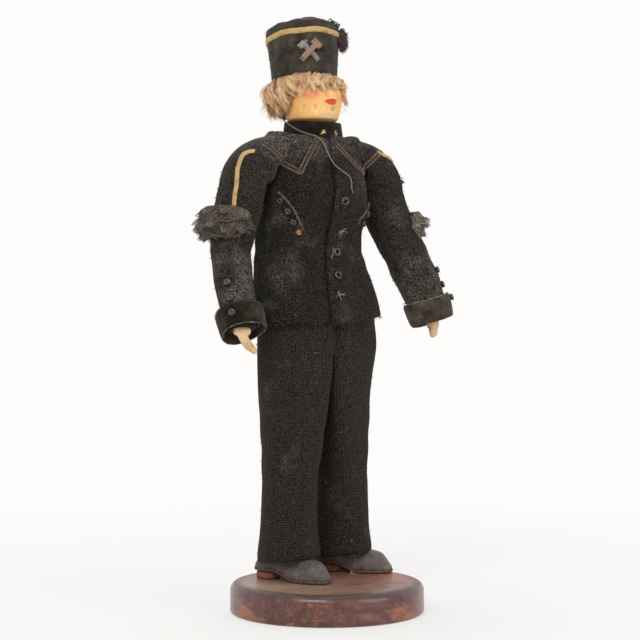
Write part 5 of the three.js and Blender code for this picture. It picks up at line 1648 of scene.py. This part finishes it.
def add_fur(side):
    """A roll of fur on the outer half of the upper arm."""
    way = ARMS[side]["side"]
    fur = FUR_ROLLS[side]
    low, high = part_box(f"{side}_fur_roll")
    tree = solid_tree(f"{side}_sleeve")
    middle = (low + high) / 2
    hub = Vector((spot(way * 35.0, 0, 0).x, middle.y, middle.z + fur["rise"] * MM))

    def outwards(across):
        swing = math.radians(lerp(fur["start"], FUR_END, across))
        return Vector((way * math.cos(swing), math.sin(swing), 0))

    def roll(across, along):
        out = outwards(across)
        angle = TURN * along
        wall = outermost(tree, hub, out)
        if wall is None:
            wall = hub + out * 0.01
        ends = math.sqrt(max(0.02, 1 - abs(across * 1.9 - 0.95) ** 4)) * fur["size"]
        bulge = 2.4 + 2.5 * math.cos(angle)
        height = 7.4 - 0.42 * bulge
        return wall + (out * bulge + UP * height * math.sin(angle)) * ends * MM

    bm = sealed(laid_grid(26, 16, roll, 0.03, 0.03, closed=True))
    make(f"{side}_fur_core", bm, FUR_CORE, arm_body(side), [f"{side}_fur_roll"])
    chance = random.Random(101 + way)
    hairs = []
    shades = []
    for _ in range(150):
        across = chance.random()
        along = chance.uniform(-0.27, 0.27) % 1.0
        droop = chance.uniform(0.1, 0.9) + 0.4 * math.sin(TURN * along)
        heading = outwards(across) * chance.uniform(0.4, 1.0) - UP * droop + any_way(chance) * 0.45
        heading.normalize()
        reach = chance.uniform(2.4, 5.0) * (1.0 - fur["point"] * (1.0 - math.cos(TURN * along))) * fur["size"]
        tip = roll(across, along) + (heading * reach - UP * 0.5) * MM
        light = chance.uniform(0.1, 0.8)
        for _ in range(11):
            near = min(1, max(0, across + chance.gauss(0, 0.045)))
            root = roll(near, (along + chance.gauss(0, 0.035)) % 1.0)
            end = tip + any_way(chance) * chance.uniform(0.2, 1.1) * MM
            middle = root.lerp(end, 0.45) + (heading * 0.7 + any_way(chance) * 0.35) * MM
            hairs.append(bent([root, middle, end], 5))
            shades.append(shade_near(light, -0.2, 0.3, chance))
    strands(f"{side}_fur_hairs", hairs, 0.00022, fur["finish"], arm_body(side), shades=shades)


SNAG = Vector((0.0476, 0.0114, 0.1806))


def add_snag(tree):
    """Threads pulled out of the left sleeve, high on its outer edge."""
    chance = random.Random(131)
    middle, out = tree.find_nearest(SNAG)[:2]
    pulled = []
    for _ in range(30):
        root = tree.find_nearest(middle + any_way(chance) * chance.uniform(0.2, 1.9) * MM)[0]
        way = out + any_way(chance) * 1.2
        pulled.append(grown(root, way, chance.uniform(1.0, 2.6) * MM, chance, 0.3, 1.2))
    strands("left_sleeve_snag", pulled, 0.00034, WOOL_THREAD, "left_arm_and_sleeve", seed=5)


def add_arm(side):
    sleeve = add_sleeve(side)
    add_stripe(side, sleeve)
    tree = cloth_tree(sleeve, add_cuff(side))
    add_hand(side)
    add_fur(side)
    under = solid_tree(f"{side}_sleeve", f"{side}_cuff")
    for number in (1, 2, 3):
        glass_ring(f"{side}_cuff_glass_{number}", f"{side}_cuff_bead_{number}", 3.1, 1.46, GLASS, tree,
                   arm_body(side), under)
    if side == "left":
        add_snag(tree)


for arm_side in ARMS:
    add_arm(arm_side)
FRONT_TREE = cloth_tree(*OUTER_CLOTH)
add_braids()
add_chest_beads()


# Head and wig

HEAD_LEVELS = [-6.0, -3.0, -0.2, 0.05, 0.5, 1.2, 2.0, 2.8, 3.6, 4.4, 5.2, 6.0, 6.6, 7.2, 7.8, 8.4, 9.0, 9.8,
               10.6, 11.4, 12.2, 13.0, 14.0, 15.0, 16.0, 17.2, 18.6, 20.0, 22.0, 24.0, 25.6, 26.6]
HEAD_TOP = 27.0


def face_shape(angle, rise):
    """Lips, chin, cheeks and eye hollows, over the plain head."""
    shape = 0.5 * hump(angle, 0, 8) * hump(rise, 11.0, 2.0)
    shape += 0.75 * hump(angle, 0, 13) * hump(rise, 8.4, 0.75)
    shape += 0.85 * hump(angle, 0, 11) * hump(rise, 6.7, 0.8)
    shape -= 0.5 * hump(angle, 0, 14) * hump(rise, 7.55, 0.35)
    shape -= 0.45 * hump(angle, 0, 15) * hump(rise, 5.1, 0.8)
    shape += 0.9 * hump(angle, 0, 19) * hump(rise, 3.0, 1.8)
    for side in (-1, 1):
        shape += 0.75 * hump(angle, side * 42, 20) * hump(rise, 9.6, 3.2)
        shape -= 0.5 * hump(angle, side * 21, 9) * hump(rise, 14.2, 1.5)
    return shape


def in_head(rise):
    """A place on the head's middle line, above the jaw."""
    return HEAD @ Vector((0, 0, JAW_HEIGHT + rise))


def add_head():
    stations = [(in_head(rise), HEAD_WAY @ FORWARD, HEAD_WAY @ ASIDE) for rise in HEAD_LEVELS]
    wrap = Wrap(["head"], stations, 72)
    rows = len(HEAD_LEVELS)

    def place(across, along):
        row = round(along * rows)
        if row == rows:
            return in_head(HEAD_TOP)
        rise = HEAD_LEVELS[row]
        angle = (across * 360 - FACE_TURN + 180) % 360 - 180
        lump = 0.16 * noise.noise(circle(TURN * across, 3.5, rise * 0.5))
        return wrap.on(across, row, (face_shape(angle, rise) + lump) * MM)

    bm = laid_grid(108, rows, place, 0.075, 0.03, closed=True)
    make("head_paint", bm, FACE, HEAD_BODY, ["head"], levels=1, inside=in_head(12))


def on_head(angle, radius, rise, back=0.0):
    """A place beside the head: degrees from straight ahead, and millimetres out and above the jaw."""
    return beside(HEAD, angle, radius, JAW_HEIGHT + rise, back)


def hair_depth(angle):
    """How far the hair stands off the head."""
    return lerp(0.9, 6.2, smooth((abs(angle) - 75) / 60))


def hair_edge(angle):
    """How low the hair reaches: over the brow in front, to the jaw behind the cheeks."""
    return lerp(12.2, 0.2, smooth((abs(angle) - 69) / 43))


def around_back(share, front):
    """Degrees from straight ahead, counted round the back from one cheek to the other."""
    angle = lerp(front, 360 - front, share)
    return angle if angle <= 180 else angle - 360


LOCK_STEPS = 8
CURL_STEP = 1.15


def add_wig():
    def cap(across, along):
        angle = around_back(across, 64)
        low = hair_edge(angle) + 1.6
        bulge = 0.25 + 0.45 * math.sin(math.pi * min(along * 1.15 + 0.1, 1))
        radius = HEAD_RADIUS + hair_depth(angle) * bulge
        return on_head(angle, radius, lerp(low, 17.4, along), lerp(0.0, HAT_BACK - 1.2, along ** 2))

    bm = laid_grid(54, 12, cap, 0.06, 0.016)
    make("wig_cap", bm, WIG_CAP, HEAD_BODY, ["wig"], wall=0.6, levels=1, inside=in_head(10))
    chance = random.Random(111)
    hairs = []
    shades = []

    def lock(root_angle, bulge, end_angle, end_reach, end_rise, curl, count, width, light):
        """One lock: hairs that leave the hat's rim together, curl together and draw together at the tip.

        The bulge and the end's reach are in millimetres off the head.
        """
        root = on_head(root_angle, 12.5, 17.8 + 1.5 * max(0.0, math.cos(math.radians(root_angle))), HAT_BACK)
        middle = on_head(lerp(root_angle, end_angle, 0.5), HEAD_RADIUS + bulge, lerp(17.6, end_rise, 0.42),
                         HAT_BACK * 0.4)
        end = on_head(end_angle, HEAD_RADIUS + end_reach, end_rise, 0.2)
        guide = bent([root, middle, end], LOCK_STEPS)
        wave = chance.uniform(0, 6.28)
        for _ in range(count):
            aside = any_way(chance) * width * MM * chance.uniform(0.2, 1.0)
            early = chance.uniform(0.75, 1.0)
            path = []
            for step, point in enumerate(guide):
                share = step / LOCK_STEPS
                turn = wave + step * CURL_STEP
                swirl = HEAD_WAY @ circle(turn, 1.0, 0.7 * math.sin(turn)) * curl * share ** 0.7
                stray = (swirl + any_way(chance) * 0.16) * MM
                path.append(point.lerp(root, share * (1 - early)) + aside * (1 - 0.5 * share) + stray)
            hairs.append(path)
            shades.append(shade_near(light, -0.22, 0.22, chance))

    # Round the back, from ear to ear
    for _ in range(84):
        angle = around_back(chance.random(), 84)
        depth = hair_depth(angle) * chance.uniform(0.55, 1.0)
        low = hair_edge(angle)
        rise = chance.uniform(low - 0.2, low + 3.5) if chance.random() < 0.7 else chance.uniform(low + 2, 11)
        lock(angle, depth + 0.9, angle + chance.gauss(0, 8), depth * chance.uniform(0.5, 1.2), rise,
             curl=1.8, count=14, width=1.2, light=chance.uniform(0.0, 0.85))
    # Over the right ear
    for _ in range(20):
        angle = -chance.uniform(76, 114)
        reach = chance.uniform(0.9, 3.0)
        lock(angle + 12, reach + 0.8, angle, reach, hair_edge(angle) + chance.uniform(0.5, 3.8),
             curl=1.3, count=20, width=1.1, light=chance.uniform(0.35, 1.0))
    # Before the left ear
    for _ in range(10):
        angle = chance.uniform(44, 66)
        reach = chance.uniform(0.8, 2.4)
        lock(angle - 14, reach, angle, reach + 0.9, chance.uniform(5.8, 12.0),
             curl=1.1, count=16, width=0.8, light=chance.uniform(0.5, 1.0))
    # The fringe, swept to the right, and its bold curls
    for _ in range(46):
        angle = chance.uniform(-62, 84)
        end = angle - chance.gauss(38, 13)
        lock(angle, chance.uniform(1.4, 2.8), end, chance.uniform(0.6, 2.2), chance.uniform(10.9, 15.6),
             curl=1.3, count=20, width=1.5, light=chance.uniform(0.45, 1.0))
    for angle in (-64, -50, -36, -22, -6, 12):
        lock(angle, 2.8, angle - 30, 2.2, chance.uniform(10.0, 12.6), curl=1.8, count=26, width=1.3, light=0.85)
    # Loose hairs all round
    for _ in range(26):
        angle = around_back(chance.random(), 20)
        reach = hair_depth(angle) + chance.uniform(1.0, 2.6)
        lock(angle, reach, angle + chance.gauss(0, 20), reach, hair_edge(angle) + chance.uniform(0.5, 6.0),
             curl=2.4, count=4, width=1.6, light=chance.uniform(0.5, 1.0))
    strands("mohair_locks", hairs, 0.00022, MOHAIR, HEAD_BODY, shades=shades, tip=0.45)


add_head()
add_wig()


# Hat, with its band, badge and tuft

# Rises up the crown's side, then radius and rise over its top, and lift and rise across its band
HAT_RISES = (2, 4, 6, 8, 10, 12, 14, 16, 18, 19.6, 20.6)
HAT_TOP = [(15.2, 20.9), (15.6, 21.7), (15.2, 22.5), (13.8, 23.3), (11, 24.4), (8, 25.2), (5, 25.7),
           (2.4, 25.9), (0, 25.9)]
HAT_BAND = [(0.0, 16.8), (0.55, 17.0), (0.75, 17.6), (0.75, 18.4), (0.55, 19.0), (0.0, 19.2)]

# The side of the hat on which the band and the top are highest
HIGH_SIDE = 79.0


def hat_radius(rise):
    return lerp(HAT_RIM_RADIUS, HAT_TOP_RADIUS, rise / HAT_HEIGHT)


def on_hat(turn, radius, rise):
    """A place on the hat: degrees from straight ahead of it, and millimetres."""
    return beside(HAT, turn, radius, rise)


def hat_lump(turn, rise):
    return 0.45 * noise.noise(circle(math.radians(turn), 1.8, rise * 0.12))


def on_crown(turn, rise, lift=0.0):
    """A place on the lumpy side of the hat, or a lift in millimetres off it."""
    return on_hat(turn, hat_radius(rise) + hat_lump(turn, rise) + lift, rise)


def high_side(turn):
    return math.cos(math.radians(turn - HIGH_SIDE))


def add_hat():
    wall = [(12.6, 3.0), (12.7, 0.3), (13.2, -0.15), (13.75, 0.3)]
    wall += [(hat_radius(rise), rise) for rise in HAT_RISES]
    wall += [(15.5, 21.3), (14.9, 21.6)]

    def side(across, along):
        radius, rise = row_of(wall, along)
        return on_hat(360 * across, radius + hat_lump(360 * across, rise), rise)

    def lid(across, along):
        radius, rise = row_of(HAT_TOP, along)
        angle, turn = TURN * across, 360 * across
        share = radius / HAT_TOP_RADIUS
        rise += noise.noise(circle(angle, share * 2.6, 4.0)) + 0.6 * noise.noise(circle(angle, 6, share * 5))
        rise += 1.3 * math.sin(math.pi * min(share, 1.0)) * high_side(turn)
        return on_hat(turn, radius + hat_lump(turn, 20), rise)

    def braid(across, along):
        lift, rise = row_of(HAT_BAND, along)
        rise += 0.22 * noise.noise(circle(TURN * across, 9, along * 2))
        rise += 0.15 * math.sin(across * 14 * math.pi) + 0.6 * high_side(360 * across)
        return on_crown(360 * across, rise, lift - 0.1)

    bm = laid_grid(72, len(wall) - 1, side, 0.09, 0.03, closed=True)
    make("hat_side_velvet", bm, HAT_VELVET, HEAD_BODY, ["hat_crown"], levels=1,
         inside=on_hat(0, 0, 10))
    bm = laid_grid(72, len(HAT_TOP) - 1, lid, 0.09, 0.02, closed=True)
    make("hat_lid_velvet", bm, HAT_VELVET, HEAD_BODY, ["hat_top"], levels=1,
         inside=on_hat(0, 0, 18))
    chance = random.Random(115)
    pile = []
    for _ in range(900):
        turn, rise = chance.uniform(0, 360), chance.uniform(0.4, 21.8)
        root = on_crown(turn, rise, -0.1)
        out = (root - on_hat(0, 0, rise)).normalized() + any_way(chance) * 0.9
        pile.append(grown(root, out, chance.uniform(0.3, 0.9) * MM, chance, 0.2, 0.7, 3))
    for _ in range(260):
        turn = chance.uniform(0, 360)
        root = on_hat(turn, chance.uniform(6.0, 15.2), 22.4)
        out = HAT_WAY @ UP + any_way(chance) * 0.9
        pile.append(grown(root, out, chance.uniform(0.6, 1.9) * MM, chance, 0.2, 0.9, 4))
    strands("hat_fuzz", pile, 0.00013, WOOL_THREAD, HEAD_BODY, seed=21)
    bm = laid_grid(96, len(HAT_BAND) - 1, braid, 0.1, 0.0035, closed=True)
    make("hat_band_braid", bm, GOLD_BRAID, HEAD_BODY, ["hat_band"], levels=1,
         inside=on_hat(0, 0, 10))


BADGE_RISE = 9.0
BADGE_LENGTH = 10.8
BADGE_LIFT = 0.45


def add_badge_tool(name, node, finish, slant, lift, head_length, blunt):
    """One foil tool: a bevelled shaft with its head across the end, lying on the hat's front."""
    bm = bmesh.new()
    shaft = ((2.3, 0.5, BADGE_LENGTH), 0.0)
    head = ((head_length, 0.6, 2.8), BADGE_LENGTH / 2 - 1.3)
    for size, middle in (shaft, head):
        made = bmesh.ops.create_cube(bm, size=1.0)["verts"]
        bmesh.ops.scale(bm, verts=made, vec=size)
        bmesh.ops.translate(bm, verts=made, vec=(0, 0, middle))
        if middle and not blunt:
            for vert in made:
                if vert.co.x > 0:
                    vert.co.z = lerp(middle, vert.co.z, 0.4)
    bmesh.ops.bevel(bm, geom=bm.edges[:], offset=0.14, affect="EDGES", segments=1, profile=0.5, material=-1)
    bmesh.ops.subdivide_edges(bm, edges=bm.edges[:], cuts=3, use_grid_fill=True)
    bm.transform(turned(slant, "Y"))
    for vert in bm.verts:
        turn = math.degrees(vert.co.x / hat_radius(BADGE_RISE))
        crumple = 0.18 * noise.noise(Vector((vert.co.x * 0.8, vert.co.z * 0.8, slant)))
        vert.co = on_crown(turn, BADGE_RISE + vert.co.z, BADGE_LIFT + lift - vert.co.y + crumple)
    bmesh.ops.recalc_face_normals(bm, faces=bm.faces[:])
    make(name, bm, finish, HEAD_BODY, [node])


TUFT_TURN = 72.0


def add_tuft():
    low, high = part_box("hat_tuft")
    middle = HAT @ (HAT_SOLID.inverted() @ ((low + high) / 2))
    middle -= on_hat(TUFT_TURN, 1.9, 0) - on_hat(TUFT_TURN, 0, 1.1)
    chance = random.Random(121)
    bm = bmesh.new()
    bmesh.ops.create_icosphere(bm, subdivisions=4, radius=1.0)
    for vert in bm.verts:
        bump = 1 + 0.2 * noise.noise(vert.co * 2.6) + 0.1 * noise.noise(vert.co * 6)
        vert.co = middle + (HAT_WAY @ Vector((vert.co.x * 2.0, vert.co.y * 2.0, vert.co.z * 4.8))) * bump * MM
    make("tuft_ball", bm, TUFT_CORE, HEAD_BODY, ["hat_tuft"])
    hairs = []
    for _ in range(420):
        way = any_way(chance)
        root = middle + (HAT_WAY @ Vector((way.x * 1.9, way.y * 1.9, way.z * 4.6))) * MM
        heading = HAT_WAY @ way + any_way(chance) * 0.8
        hairs.append(grown(root, heading, chance.uniform(0.6, 1.7) * MM, chance, 0.2, 1.1, 4))
    loops = []
    for _ in range(18):
        turn = TUFT_TURN - chance.uniform(-4, 36)
        root = on_hat(turn, 14.9, 21.8)
        across = (on_hat(turn + 2, 15, 22) - on_hat(turn - 2, 15, 22)).normalized()
        stand = HAT_WAY @ UP + (root - on_hat(0, 0, 21.8)).normalized() * chance.uniform(-0.2, 0.7)
        size = chance.uniform(0.6, 1.3) * MM
        angles = [step / 8 * TURN for step in range(9)]
        loops.append([root + stand * size * (1 - math.cos(t)) + across * size * math.sin(t) for t in angles])
    strands("tuft_hairs", hairs, 0.00026, TUFT_WOOL, HEAD_BODY, seed=13)
    strands("tuft_loops", loops, 0.00034, TUFT_WOOL, HEAD_BODY, tip=0.9,
            shades=[0.1] * len(loops))


add_hat()
add_badge_tool("badge_hammer_foil", "badge_hammer", TIN, slant=-42, lift=0.0, head_length=4.6,
               blunt=False)
add_badge_tool("badge_mallet_foil", "badge_mallet", COPPER, slant=42, lift=0.65, head_length=4.4,
               blunt=True)
add_tuft()


# Hidden solids that stay as they are

# The arms and the body core get the dark finish so that where they show, in the cuff openings and between the
# legs, they read as painted shade
HIDDEN = {"right_leg": PULP, "left_leg": PULP, "right_arm": PAINTED_SHADE_DARK, "left_arm": PAINTED_SHADE_DARK, "body_core": PAINTED_SHADE_DARK,
          "shoulder_wire": STEEL, "neck_peg": RAW_WOOD}
for hidden_node, hidden_finish in HIDDEN.items():
    coat(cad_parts[hidden_node].data, hidden_finish)
